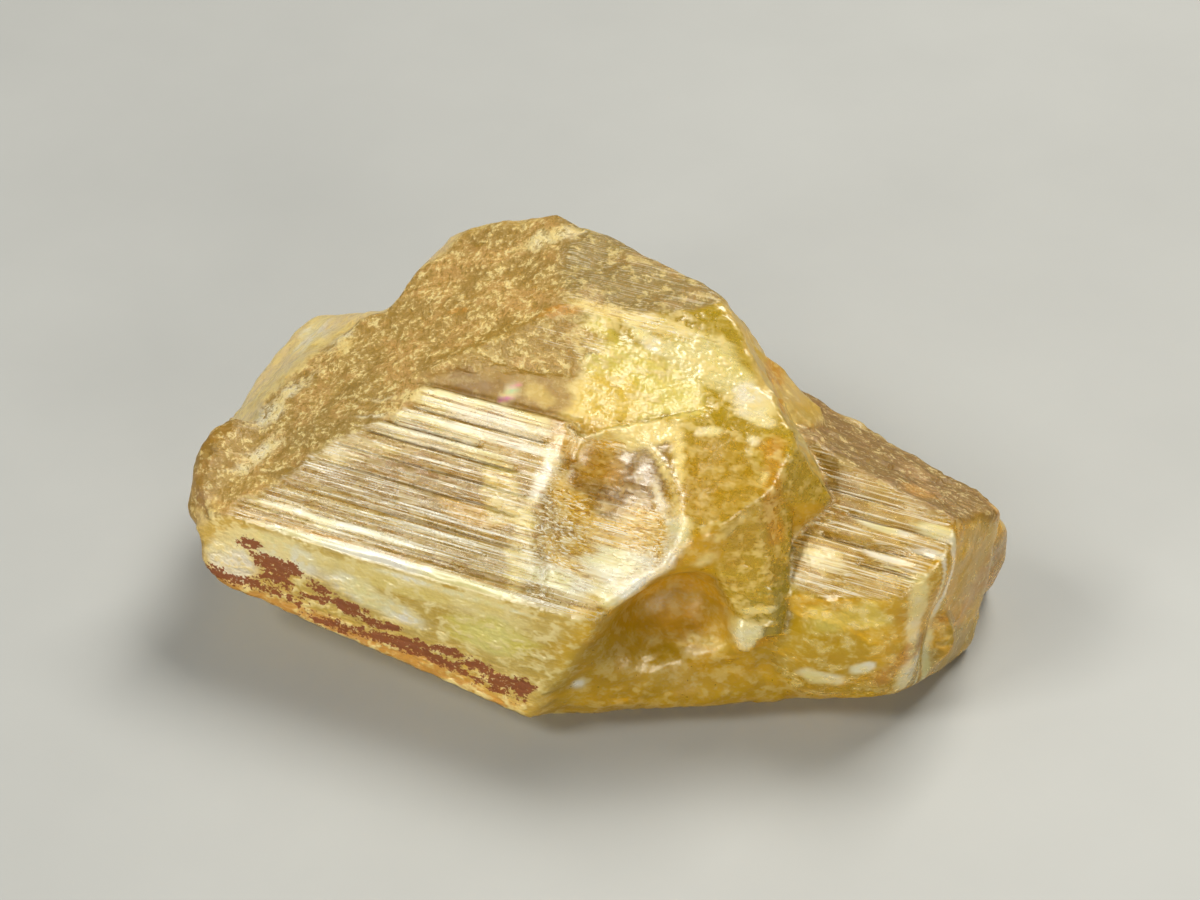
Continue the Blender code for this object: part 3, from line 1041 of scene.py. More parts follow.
@dataclass(frozen=True)
class Patch:
    """A spot of colour on the striated or right face, soft and uneven at its rim; some are painted
    highlights or sheen.

    Attributes:
        centre: X and height up the slope.
        half: Half lengths along X and up the slope.
        turn: How far it is turned.
        colour: Its colour.
        veil: How much white sparkling break it has at least.
        grain: How much grainy coat it has at least.
        lines: How many silky lines it has at least.
        calm: Share of the lines and breaks that it takes away.
        uneven: How uneven its rim is.
        rim: Share of the half lengths at which it starts to fade and at which it is gone.
    """

    centre: tuple[float, float]
    half: tuple[float, float]
    turn: float
    colour: Colour
    veil: float = 0.0
    grain: float = 0.0
    lines: float = 0.0
    calm: float = 0.0
    uneven: float = 0.45
    rim: tuple[float, float] = (0.75, 1.25)

    def cover(self, along: np.ndarray, up: np.ndarray, ragged: np.ndarray) -> np.ndarray:
        """How much of the spot covers each point.

        Args:
            along: X of the points.
            up: Their height up the slope.
            ragged: Noise that makes the rim uneven.

        Returns:
            Numbers from 0 to 1.
        """
        turn = math.radians(self.turn)
        x, v = along - self.centre[0], up - self.centre[1]
        first = (x * math.cos(turn) + v * math.sin(turn)) / self.half[0]
        second = (-x * math.sin(turn) + v * math.cos(turn)) / self.half[1]
        away = np.hypot(first, second) + self.uneven * ragged
        return 1.0 - faded(away, *self.rim)


NEAR_ZONES = (
    Zone.STRIATED,
    Zone.SILKY,
    Zone.BROKEN,
    Zone.WINDOW,
    Zone.PLATE,
    Zone.TOP,
    Zone.MILKY,
    Zone.GRAINY,
)
RIGHT_ZONES = (Zone.RIGHT, Zone.BELLY, Zone.SHOULDER)
NEAR_PATCHES = (
    Patch((-3.2, 2.5), (5.0, 0.95), 0, seen_as(160, 128, 44), uneven=0.3),
    Patch((-5.6, 3.0), (1.6, 0.4), 12, seen_as(214, 194, 140), uneven=0.5),
    # White silky lines, partly the stone's pale fibres and partly painted sheen.
    Patch((-2.0, 4.45), (3.8, 0.13), 0, WHITE, uneven=0.2),
    Patch((-2.6, 3.97), (3.2, 0.08), 0, WHITE, uneven=0.2),
    Patch((-1.8, 5.2), (3.6, 0.30), 0, WHITE, uneven=0.2),
    Patch((-3.6, 4.21), (1.7, 0.13), 0, DEEP_AMBER, calm=0.8, uneven=0.1),
    Patch((-2.8, 3.74), (2.6, 0.11), 0, DEEP_AMBER, calm=0.8, uneven=0.1),
    Patch((-2.3, 4.79), (2.0, 0.09), 0, DEEP_AMBER, calm=0.7, uneven=0.1),
    Patch((-1.2, 2.15), (1.3, 0.35), 0, AMBER, calm=0.3, uneven=0.4),
    # A white silky line, partly pale fibres and partly painted sheen.
    Patch((-5.7, 0.67), (3.2, 0.10), 0, WHITE, calm=0.5, uneven=0.2),
    Patch((-4.6, 0.22), (4.2, 0.12), 0, TAN, uneven=0.2),
    # Painted highlight: the bright line of light along the edge where the two near prism faces
    # meet.
    Patch((-3.4, 0.0), (4.5, 0.20), 0, WHITE, calm=0.9, uneven=0.1),
    Patch((-2.6, -0.75), (4.5, 0.45), 0, CREAM, 0.5),
    Patch((-7.6, -0.8), (1.4, 0.55), -8, WHITE, 0.7),
    Patch((-1.2, -0.45), (2.6, 0.11), 0, WHITE, 0.2, uneven=0.2),
    Patch((-4.0, -1.6), (1.6, 0.45), -12, WHITE, 0.6),
    Patch((-0.3, -1.6), (1.5, 0.7), 0, GREENISH, 0.2),
    Patch((-9.1, -1.6), (0.8, 0.9), 0, WHITE, 1.0, 0.3),
    Patch((-4.3, -3.4), (5.5, 0.42), -7, seen_as(214, 158, 70)),
    Patch((-0.75, 2.9), (0.5, 1.0), 20, seen_as(216, 194, 116), 0.8, calm=0.2),
    Patch((0.55, 4.3), (0.22, 1.2), -8, WHITE, 0.8, calm=0.5),
    Patch((0.35, 1.6), (0.4, 1.1), 8, CREAM, 0.3),
    Patch((2.3, 4.5), (1.2, 0.9), 0, seen_as(126, 94, 4), 0.6, calm=0.8, uneven=0.4),
    Patch((3.3, 5.0), (1.1, 1.0), 0, seen_as(126, 94, 4), 0.6, calm=0.8, uneven=0.4),
    Patch((3.7, 1.75), (1.5, 1.05), -22, WHITE, 0.3, calm=0.4),
    Patch((2.2, 0.95), (1.5, 0.40), 0, WHITE, 0.1, calm=0.3),
    Patch((4.45, 3.9), (0.14, 1.1), 38, WHITE, 0.3, calm=0.6, uneven=0.3),
    Patch((5.6, 5.2), (1.35, 1.45), 0, seen_as(176, 146, 24), 0.4, calm=0.5),
    Patch((4.3, 5.6), (0.16, 1.0), 20, CREAM, 0.5, uneven=0.4),
    Patch((1.9, 9.15), (2.3, 0.36), 2, CREAM, 0.4, lines=0.8),
    Patch((2.4, 8.7), (0.9, 0.25), -15, WHITE, 0.6),
    Patch((0.3, 8.0), (1.1, 0.35), 0, CREAM, 0.3, lines=0.8),
    Patch((1.6, 6.6), (1.2, 0.9), 30, STRAW, 1.0),
    Patch((4.4, 8.6), (1.7, 0.8), -15, seen_as(236, 228, 172), 1.0),
    Patch((3.1, 5.9), (1.0, 0.35), 10, CREAM, 1.0),
    Patch((-1.6, 7.75), (2.4, 0.85), 8, seen_as(176, 144, 62), 0.3, 0.9),
    Patch((5.9, 7.7), (0.9, 0.28), -12, SILVER, 0.9, uneven=0.7),
    Patch((-0.55, 8.7), (0.75, 0.22), 12, ORANGE, calm=0.5),
    # Painted glint: a silvery spot of light near the top face's upper left corner.
    Patch((-2.2, 13.0), (0.8, 0.5), 20, SILVER, 0.8, uneven=0.8),
    Patch((3.5, -2.6), (1.5, 3.3), 0, seen_as(222, 184, 24), calm=0.3),
    Patch((-4.9, 13.3), (0.45, 0.35), 0, OLIVE, grain=1.0),
    Patch((-4.13, 9.55), (0.4, 0.2), 0, ORANGE),
)
RIGHT_PATCHES = (
    Patch((8.2, 1.2), (1.3, 1.2), 0, OLIVE),
    # The next six are painted highlights: white and silver streaks of sheen along the right face's
    # silky lines.
    Patch((10.4, 0.50), (0.95, 0.10), 0, WHITE, 0.2, calm=0.8, uneven=0.2),
    Patch((10.6, -0.36), (0.9, 0.11), 0, WHITE, 0.2, calm=0.8, uneven=0.2),
    Patch((11.9, 0.78), (0.75, 0.20), 0, WHITE, 0.3, calm=0.6, uneven=0.3),
    Patch((12.0, 0.18), (0.75, 0.10), 0, WHITE, 0.3, calm=0.6, uneven=0.25),
    Patch((12.2, -0.75), (1.0, 0.35), 0, SILVER, 0.6),
    Patch((8.9, -0.95), (0.7, 0.35), 0, SILVER, 0.4, calm=0.2, uneven=0.6),
    Patch((10.95, 2.5), (0.6, 0.3), 0, ORANGE),
)


@dataclass(frozen=True)
class Trace:
    """A vein, rim or spot of colour along a path over the stone; some are painted highlights and
    glints.

    Attributes:
        path: Its corners, or one point for a spot.
        half: Half its width.
        colour: Its colour.
        strength: How much of its colour it lays down.
        veil: How much white sparkling break it has at least.
        calm: Share of the lines that it takes away.
        uneven: How uneven its rims are.
        rim: Share of the half width at which it starts to fade and at which it is gone.
    """

    path: tuple[Place, ...]
    half: float
    colour: Colour
    strength: float = 0.9
    veil: float = 0.0
    calm: float = 0.6
    uneven: float = 0.7
    rim: tuple[float, float] = (0.5, 1.4)

    def cover(self, place: np.ndarray, ragged: np.ndarray) -> np.ndarray:
        """How much of the vein covers each point.

        Args:
            place: The points.
            ragged: Noise that makes the rims uneven.

        Returns:
            Numbers from 0 to the strength.
        """
        nearest = np.full(place.shape[:-1], FAR_AWAY)
        for first, last in zip(self.path, self.path[1:] or self.path):
            start, run = np.array(first), np.array(last) - np.array(first)
            share = ((place - start) @ run) / max(float(run @ run), TINY)
            near = start + np.clip(share, 0.0, 1.0)[..., None] * run
            nearest = np.minimum(nearest, np.linalg.norm(place - near, axis=-1))
        away = nearest / self.half + self.uneven * ragged
        return self.strength * (1.0 - faded(away, *self.rim))


TRACES = (
    Trace(((7.1, -3.5, 9.7), (7.2, -4.2, 8.7), (7.5, -4.35, 7.3)), 0.32, ORANGE, 0.6),
    Trace(((5.5, 0.6, 9.7), (6.4, -1.6, 10.2), (6.95, -3.2, 9.9)), 0.35, ORANGE, 0.7),
    Trace(((12.35, -2.1, 3.9), (11.7, -3.4, 3.5), (10.95, -3.95, 2.4)), 0.34, ORANGE, 0.7),
    Trace(((13.0, 0.2, 4.2), (12.5, -1.4, 2.6)), 0.6, ORANGE, 0.5),
    Trace(((10.96, -1.2, 7.84),), 0.50, ORANGE, 0.9),
    Trace(((0.49, -4.2, 9.6), (0.7, -4.6, 8.9)), 0.30, DEEP_AMBER, 0.7),
    Trace(((1.0, -4.3, 9.0), (2.0, -4.5, 8.8)), 0.7, AMBER, 0.5),
    Trace(((2.9, -3.95, 9.9), (4.0, -4.5, 9.05), (5.0, -5.6, 8.0)), 0.14, CREAM, 0.9, 0.5),
    Trace(((5.0, -5.6, 8.0), (4.75, -6.55, 6.65), (3.4, -7.3, 6.0)), 0.30, WHITE, 0.8, 0.4),
    Trace(((6.9, -3.9, 9.3), (6.6, -4.7, 8.3), (5.9, -5.3, 7.6), (5.2, -5.3, 8.1)), 0.14, CREAM),
    Trace(((5.8, -2.45, 10.95), (6.4, -2.7, 10.8)), 0.35, WHITE, 0.95, 0.5),
    # Painted glints: three pale spots of sparkling light in and below the amber hollow.
    Trace(((4.06, -5.7, 3.0),), 0.22, CREAM, 0.8, 0.8),
    Trace(((5.4, -5.2, 3.2), (6.2, -5.2, 3.3)), 0.22, STRAW, 0.5, 1.0),
    Trace(((2.56, -7.6, 2.36),), 0.22, WHITE, 0.9, 0.5),
    # Painted highlights: two white spots of light low on the golden belly.
    Trace(((8.9, -4.6, 2.6), (9.7, -4.5, 2.4)), 0.28, WHITE, 0.95, 0.3),
    Trace(((10.2, -4.2, 3.0), (10.6, -4.15, 3.1)), 0.20, WHITE, 0.95),
    Trace(((7.0, -5.3, 5.05), (7.8, -4.95, 5.2)), 0.12, CREAM, 0.9, 0.3),
    Trace(((5.6, -5.5, 6.9), (5.9, -5.45, 7.0)), 0.25, CREAM, 0.9, 0.6),
    Trace(((8.4, -3.6, 6.4), (9.3, -3.4, 6.2)), 0.3, CREAM, 0.5, 0.6),
    Trace(((-10.6, -7.45, 5.3), (-9.9, -7.9, 5.2)), 0.26, seen_as(110, 78, 30), 0.85),
    Trace(((-10.1, -5.4, 6.2), (-10.3, -4.9, 6.6)), 0.22, BROWN, 0.9),
    # Painted highlights: white streaks of light along the left ridge's lumps.
    Trace(((-10.4, 0.0, 6.7), (-9.7, -1.2, 7.6)), 0.6, WHITE, 1.0, 0.3),
    Trace(((-8.5, -1.9, 8.66), (-9.1, -3.2, 8.1), (-9.7, -4.4, 6.8)), 0.5, WHITE, 1.0, 0.5),
    Trace(((9.1, -4.5, 4.6), (10.6, -4.0, 5.0)), 0.5, GREENISH, 0.6, 0.9),
    Trace(((4.7, -3.55, 10.0), (5.3, -3.4, 10.1)), 0.12, WHITE, 0.9, 0.6),
    Trace(((5.8, -3.6, 9.4),), 0.16, WHITE, 0.9, 0.6),
    Trace(((6.3, -3.3, 10.0),), 0.14, WHITE, 0.9, 0.6),
    Trace(((-0.9, -3.6, 9.9), (-0.2, -3.6, 9.7)), 0.24, STRAW, 0.5, 0.6),
    Trace(((-2.9, -3.65, 9.7), (-2.0, -3.65, 9.65)), 0.40, seen_as(132, 96, 0), 0.7),
    # Painted highlight: a white streak of light lower on the left ridge.
    Trace(((-8.8, -5.35, 6.6), (-9.2, -6.2, 6.0)), 0.40, WHITE, 0.9, 0.3),
    Trace(((-7.85, -2.2, 8.5),), 0.35, CREAM, 0.8, 0.8),
    Trace(((13.1, 2.9, 4.2), (13.1, 1.6, 5.6), (12.9, 0.4, 6.5)), 0.28, PINKISH, 0.8, 0.3),
    Trace(((12.9, -0.5, 6.0), (13.1, 0.9, 5.0)), 0.35, GOLD, 0.7),
    # Painted glint: a white spot with a small rainbow of pink, green and violet in a crack in the
    # amber window.
    Trace(((-1.30, -3.6, 9.8), (-1.50, -3.75, 9.5)), 0.24, WHITE, 0.7, 0.3),
    Trace(((-1.15, -3.5, 9.9), (-1.40, -3.6, 9.8)), 0.09, seen_as(240, 120, 190), 1.0),
    Trace(((-1.22, -3.6, 9.75), (-1.50, -3.7, 9.65)), 0.08, seen_as(100, 230, 190), 1.0),
    Trace(((-1.40, -3.75, 9.5), (-1.62, -3.8, 9.4)), 0.09, seen_as(210, 110, 230), 1.0),
)


@dataclass(frozen=True)
class Stain:
    """A rusty spot on the milky face.

    Attributes:
        x: X of its middle.
        z: Z of its middle.
        half_x: Half its length along X.
        half_z: Half its length along Z.
        grown: What both half lengths are multiplied by.
        rim: Share of the grown half lengths at which it starts to fade and at which it is gone.
    """

    x: float
    z: float
    half_x: float
    half_z: float
    grown: float = 1.25
    rim: tuple[float, float] = (0.3, 1.6)

    def cover(self, x: np.ndarray, z: np.ndarray, ragged: np.ndarray) -> np.ndarray:
        """How much of the stain covers each point.

        Args:
            x: X of the points.
            z: Their Z.
            ragged: Noise that makes the rim uneven.

        Returns:
            Numbers from 0 to 1.
        """
        away = np.hypot((x - self.x) / self.half_x, (z - self.z) / self.half_z)
        return 1.0 - faded(away / self.grown + ragged, *self.rim)


STAINS = (
    Stain(-8.47, 4.64, 0.45, 0.22),
    Stain(-7.88, 4.10, 0.60, 0.32),
    Stain(-7.10, 4.10, 0.45, 0.28),
    Stain(-7.58, 3.51, 0.60, 0.22),
    Stain(-6.17, 3.72, 0.42, 0.22),
    Stain(-6.24, 3.30, 0.50, 0.14),
    Stain(-5.02, 3.30, 0.65, 0.20),
    Stain(-4.20, 3.02, 0.45, 0.20),
    Stain(-3.50, 3.10, 0.35, 0.16),
    Stain(-2.63, 2.72, 0.55, 0.16),
    Stain(-1.50, 2.80, 0.60, 0.18),
    Stain(-0.60, 2.55, 0.45, 0.20),
    Stain(0.10, 2.22, 0.50, 0.24),
    Stain(0.85, 2.25, 0.35, 0.30),
)

# The streak along the lower rim: X and Z of its path, half its width and where it ends in X.
RIM_STREAK = ((-9.9, 3.15), (-7.2, 3.05), (-6.1, 2.54), (-4.5, 2.52), (-2.5, 2.45), (1.2, 1.75))
RIM_HALF = 0.35
RIM_END = (0.8, 1.6)


@dataclass
class Dressing:
    """Colour and finish of every point of the surface.

    Attributes:
        colour: Linear colour.
        dull: Roughness.
        lines: Strength of the silky lines.
        grain: Strength of the grainy coat.
        veil: Strength of the white sparkling breaks.
        iron: Strength of the rusty stains.
    """

    colour: np.ndarray
    dull: np.ndarray
    lines: np.ndarray
    grain: np.ndarray
    veil: np.ndarray
    iron: np.ndarray

    @classmethod
    def of(cls, surface: Surface, seed: int) -> "Dressing":
        """Works out the dressing from the zones, then lays patches, traces and stains on it.

        Args:
            surface: The finished surface.
            seed: Chooses the patterns of the uneven rims.

        Returns:
            The dressing.
        """
        names = ("colour", "dull", "lines", "grain", "veil")
        made = cls(
            *(blended(surface.share, name) for name in names),
            iron=np.zeros(surface.reach.shape),
        )
        made._lay_patches(surface, seed)
        made._lay_traces(surface, seed)
        made._lay_stains(surface, seed)
        return made

    def _paint(self, cover: np.ndarray, colour: Colour, **least: float) -> None:
        """Blends a colour in and brings each named strength up to a least value.

        Args:
            cover: How much of the mark covers each point.
            colour: Its colour.
            least: The least value of each named strength.
        """
        self.colour += cover[..., None] * (np.array(colour) - self.colour)
        for name, value in least.items():
            strength = getattr(self, name)
            strength += cover * (np.maximum(strength, value) - strength)

    def _lay_patches(self, surface: Surface, seed: int) -> None:
        """Lays the patches on the zones that each of the two tables is meant for."""
        along = surface.place[..., 0]
        ragged = rough_noise(surface.place / np.array([1.6, 0.35, 0.35]), seed)
        jobs = (
            (NEAR_PATCHES, surface.upslope(), NEAR_ZONES),
            (RIGHT_PATCHES, surface.right_upslope(), RIGHT_ZONES),
        )
        for patches, up, zones in jobs:
            allowed = sum(surface.share[zone] for zone in zones)
            for patch in patches:
                cover = patch.cover(along, up, ragged) * allowed
                least = {"veil": patch.veil, "grain": patch.grain, "lines": patch.lines}
                self._paint(cover, patch.colour, **least)
                self.lines *= 1.0 - patch.calm * cover
                self.veil *= 1.0 - patch.calm * cover

    def _lay_traces(self, surface: Surface, seed: int) -> None:
        """Lays the veins, rims and spots, and the painted highlights and glints."""
        ragged = rough_noise(surface.place / 0.5, seed + 8)
        for trace in TRACES:
            cover = trace.cover(surface.place, ragged)
            self._paint(cover, trace.colour, veil=trace.veil)
            self.lines *= 1.0 - trace.calm * cover

    def _lay_stains(self, surface: Surface, seed: int) -> None:
        """Lays the rusty spots and the streak along the lower rim of the milky face."""
        x, z = surface.place[..., 0], surface.place[..., 2]
        allowed = surface.share[Zone.MILKY]
        ragged = 0.7 * rough_noise(surface.place / np.array([0.7, 0.3, 0.25]), seed + 5)
        for stain in STAINS:
            self.iron = np.maximum(self.iron, stain.cover(x, z, ragged) * allowed)
        rim = np.interp(x, *np.transpose(RIM_STREAK))
        patchy = 0.75 + 0.5 * rough_noise(surface.place / np.array([1.6, 0.4, 0.3]), seed + 6)
        streak = np.exp(-(((z - rim) / RIM_HALF) ** 2)) * (1.0 - faded(x, *RIM_END)) * patchy
        self.iron = np.maximum(self.iron, streak * allowed)


def add_object(name: str, data: bpy.types.ID) -> bpy.types.Object:
    """Makes an object and links it to the scene."""
    made = bpy.data.objects.new(name, data)
    bpy.context.scene.collection.objects.link(made)
    return made


@dataclass
class StoneSkin:
    """The stone's outer skin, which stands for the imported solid.

    Attributes:
        shape: The solids that give the smooth surface.
        fan: The rays that carry the points.
        relief: What is added to the smooth surface.
        crisp_rim: How often crisp zone borders are spread, across and along.
        wide_rim: The same for ragged borders, before noise tears them.
        ragged_rim: Size and strength of that noise.
        ragged_from: Shares of the ragged zones at which such a border starts and is whole.
        melted: How often the surface is spread where it is melted.
        melted_rim: How often the border of the melted part is spread.
        seed: Chooses the patterns of the zone borders and the patches.
    """

    shape: StoneShape = field(default_factory=StoneShape)
    fan: Fan = field(default_factory=Fan)
    relief: Relief = field(default_factory=Relief)
    crisp_rim: tuple[int, int] = (2, 1)
    wide_rim: tuple[int, int] = (50, 6)
    ragged_rim: tuple[float, float] = (0.7, 4.0)
    ragged_from: tuple[float, float] = (0.05, 0.4)
    melted: tuple[int, int] = (40, 12)
    melted_rim: tuple[int, int] = (10, 4)
    seed: int = 11

    def build(self, low: Vector, high: Vector) -> bpy.types.Object:
        """Works out the surface, dresses it and makes the object.

        Args:
            low: Lowest corner of the solid's box, in metres.
            high: Its highest corner.

        Returns:
            The skin as one closed mesh object.
        """
        rays = self.fan.rays()
        reach, zone = self.shape.surface(rays)
        share = self._shares(zone, rays.at(reach))
        melt = spread(blended(share, "melt"), *self.melted_rim)
        reach = reach + melt * (spread(reach, *self.melted) - reach)
        surface = Surface(rays.at(reach), rays, reach, share)
        self.relief.add_to(surface)
        surface.place = np.clip(surface.place, np.array(low) / MM, np.array(high) / MM)
        dressing = Dressing.of(surface, self.seed)
        ends = self.fan.ends()
        tips = ends.at(self.shape.surface(ends)[0])
        points = np.concatenate([surface.place.reshape(-1, 3), tips])
        mesh = self._mesh(points)
        self._write(mesh, "tone", dressing.colour, "FLOAT_COLOR")
        for name in ("dull", "lines", "grain", "veil", "iron"):
            self._write(mesh, name, getattr(dressing, name), "FLOAT")
        return add_object("crystal_skin", mesh)

    def _shares(self, zone: np.ndarray, place: np.ndarray) -> np.ndarray:
        """How much of each zone the points have.

        Crisp shares are the zones blended with their nearest neighbours. Ragged shares are the
        cubes of widely blended ones, each times e to the power of its own noise, brought back
        to a sum of one. They are taken where the zones outside CRISP_RIMS meet.

        Args:
            zone: Zone number of each point.
            place: The points.

        Returns:
            The shares, zones first.
        """
        whole = np.stack([zone == int(kind) for kind in Zone]).astype(float)
        crisp = spread(whole, *self.crisp_rim)
        wide = spread(crisp, *self.wide_rim)
        size, strength = self.ragged_rim
        swing = [rough_noise(place / size, self.seed + 60 + int(kind)) for kind in Zone]
        ragged = wide**3 * np.exp(strength * np.stack(swing))
        ragged = ragged / np.maximum(ragged.sum(axis=0), TINY)
        torn = sum(wide[kind] for kind in Zone if kind not in CRISP_RIMS)
        return crisp + faded(torn, *self.ragged_from) * (ragged - crisp)

    def _mesh(self, points: np.ndarray) -> bpy.types.Mesh:
        """Joins neighbouring points with four-sided faces, and each end with three-sided ones.

        Args:
            points: Rows by columns of points, then the -X end and the +X end.

        Returns:
            The closed mesh, with its faces outwards.
        """
        rows, columns = self.fan.rows, self.fan.columns
        number = np.arange(rows * columns).reshape(rows, columns)
        after = np.roll(number, -1, axis=1)
        quads = np.stack([number[:-1], number[1:], after[1:], after[:-1]], axis=-1)
        first_end, last_end = rows * columns, rows * columns + 1
        first = np.stack([number[0], after[0], np.full(columns, first_end)], axis=-1)
        last = np.stack([after[-1], number[-1], np.full(columns, last_end)], axis=-1)
        triangles = np.concatenate([first, last])
        around = np.concatenate([quads.reshape(-1), triangles.reshape(-1)])
        sizes = np.concatenate([np.full(quads.shape[0] * columns, 4), np.full(2 * columns, 3)])
        mesh = bpy.data.meshes.new("crystal_skin")
        mesh.vertices.add(len(points))
        mesh.vertices.foreach_set("co", (points * MM).astype(np.float32).reshape(-1))
        mesh.loops.add(len(around))
        mesh.loops.foreach_set("vertex_index", around.astype(np.int32))
        mesh.polygons.add(len(sizes))
        starts = np.concatenate([[0], np.cumsum(sizes)[:-1]]).astype(np.int32)
        mesh.polygons.foreach_set("loop_start", starts)
        mesh.update(calc_edges=True)
        mesh.validate()
        mesh.shade_smooth()
        return mesh

    @staticmethod
    def _write(mesh: bpy.types.Mesh, name: str, values: np.ndarray, kind: str) -> None:
        """Stores one value or colour a point, the two ends taking those of their first row.

        Args:
            mesh: The mesh to store it in.
            name: Name that the finish reads.
            values: Rows by columns of numbers or colours.
            kind: Blender's name for the type.
        """
        ends = np.stack([values[0, 0], values[-1, 0]])
        flat = np.concatenate([values.reshape(-1, *values.shape[2:]), ends])
        attribute = mesh.attributes.new(name, kind, "POINT")
        if kind == "FLOAT_COLOR":
            flat = np.concatenate([flat, np.ones((len(flat), 1))], axis=1)
            attribute.data.foreach_set("color", flat.astype(np.float32).reshape(-1))
        else:
            attribute.data.foreach_set("value", flat.astype(np.float32))


# Finishes.


@dataclass
class Nodes:
    """Short ways to add nodes to a tree.

    Attributes:
        tree: The node tree of a material or group.
    """

    tree: bpy.types.NodeTree

    def add(self, kind: str, **settings: object) -> bpy.types.Node:
        """Adds a node of a kind and sets the named properties on it."""
        node = self.tree.nodes.new(kind)
        for name, value in settings.items():
            setattr(node, name, value)
        return node

    def link(self, out: bpy.types.NodeSocket, into: bpy.types.NodeSocket) -> None:
        """Joins two sockets."""
        self.tree.links.new(out, into)

    def feed(self, socket: bpy.types.NodeSocket, value: Feed) -> None:
        """Feeds a socket from another socket, or sets it to a plain number or colour."""
        if isinstance(value, bpy.types.NodeSocket):
            self.link(value, socket)
        elif isinstance(value, tuple):
            socket.default_value = (*value, 1.0)
        else:
            socket.default_value = value

    def math(self, operation: str, first: Feed, second: Feed) -> bpy.types.NodeSocket:
        """Adds a Math node and returns its result."""
        node = self.add("ShaderNodeMath", operation=operation)
        self.feed(node.inputs[0], first)
        self.feed(node.inputs[1], second)
        return node.outputs[0]

    def mix(
        self, share: Feed, first: Feed, second: Feed, blend: str = "MIX"
    ) -> bpy.types.NodeSocket:
        """Adds a Mix node for colours and returns its result."""
        node = self.add("ShaderNodeMix", data_type="RGBA", blend_type=blend)
        self.feed(node.inputs["Factor"], share)
        self.feed(node.inputs["A"], first)
        self.feed(node.inputs["B"], second)
        return node.outputs["Result"]

    def ramp(self, value: Feed, low: float, high: float) -> bpy.types.NodeSocket:
        """Adds a smooth step from 0 at low to 1 at high and returns its result."""
        node = self.add("ShaderNodeMapRange", interpolation_type="SMOOTHSTEP")
        self.feed(node.inputs["Value"], value)
        node.inputs["From Min"].default_value = low
        node.inputs["From Max"].default_value = high
        return node.outputs["Result"]

    def noise(
        self, sizes: Place, detail: float = 2.0, rough: float = 0.55, shift: float = 0.0
    ) -> bpy.types.NodeSocket:
        """Adds noise on object coordinates.

        Args:
            sizes: Size of a blot along X, Y and Z, in millimetres.
            detail: How many finer noises are added.
            rough: How strong the finer noises are.
            shift: Moves the pattern, in blots.

        Returns:
            The noise, from 0 to 1.
        """
        place = self.add("ShaderNodeTexCoord")
        mapping = self.add("ShaderNodeMapping")
        self.link(place.outputs["Object"], mapping.inputs["Vector"])
        mapping.inputs["Scale"].default_value = tuple(1.0 / (size * MM) for size in sizes)
        mapping.inputs["Location"].default_value = (shift, shift, shift)
        noise = self.add("ShaderNodeTexNoise")
        self.link(mapping.outputs["Vector"], noise.inputs["Vector"])
        noise.inputs["Scale"].default_value = 1.0
        noise.inputs["Detail"].default_value = detail
        noise.inputs["Roughness"].default_value = rough
        return noise.outputs["Fac"]


@dataclass(frozen=True)
class Layer:
    """A paint that lies over the stone's own colour where a noise crosses a band.

    Attributes:
        noise: Name of the feed that the band is in.
        start: Its value where the paint starts.
        whole: Its value where the paint is whole, below start for the noise's low parts.
        mark: Name of the feed that the paint is multiplied by.
        strength: Most that it covers.
        paint: Its colour.
    """

    noise: str
    start: float
    whole: float
    mark: str
    strength: float
    paint: Colour


# Laid in this order. The rust is last, because its cover also dulls the stone.
LAYERS = (
    # White silky lines, partly the stone's pale fibres and partly painted sheen.
    Layer("thread", 0.53, 0.60, "lines", 0.90, WHITE),
    Layer("thread", 0.47, 0.37, "lines", 0.85, DEEP_AMBER),
    Layer("crackle", 0.48, 0.36, "grain", 0.60, OLIVE),
    Layer("broad", 0.50, 0.60, "grain", 0.35, PINKISH),
    Layer("broad", 0.47, 0.37, "grain", 0.40, OLIVE),
    Layer("fleck", 0.48, 0.36, "grain", 0.85, OLIVE),
    Layer("fleck", 0.49, 0.62, "crumbs", 0.90, CREAM),
    Layer("crackle", 0.44, 0.68, "breaks", 0.45, STRAW),
    Layer("cluster", 0.67, 0.84, "veil", 0.85, CREAM),
    Layer("dusty", 1.72, 2.0, "iron_here", 0.98, RUST),
)


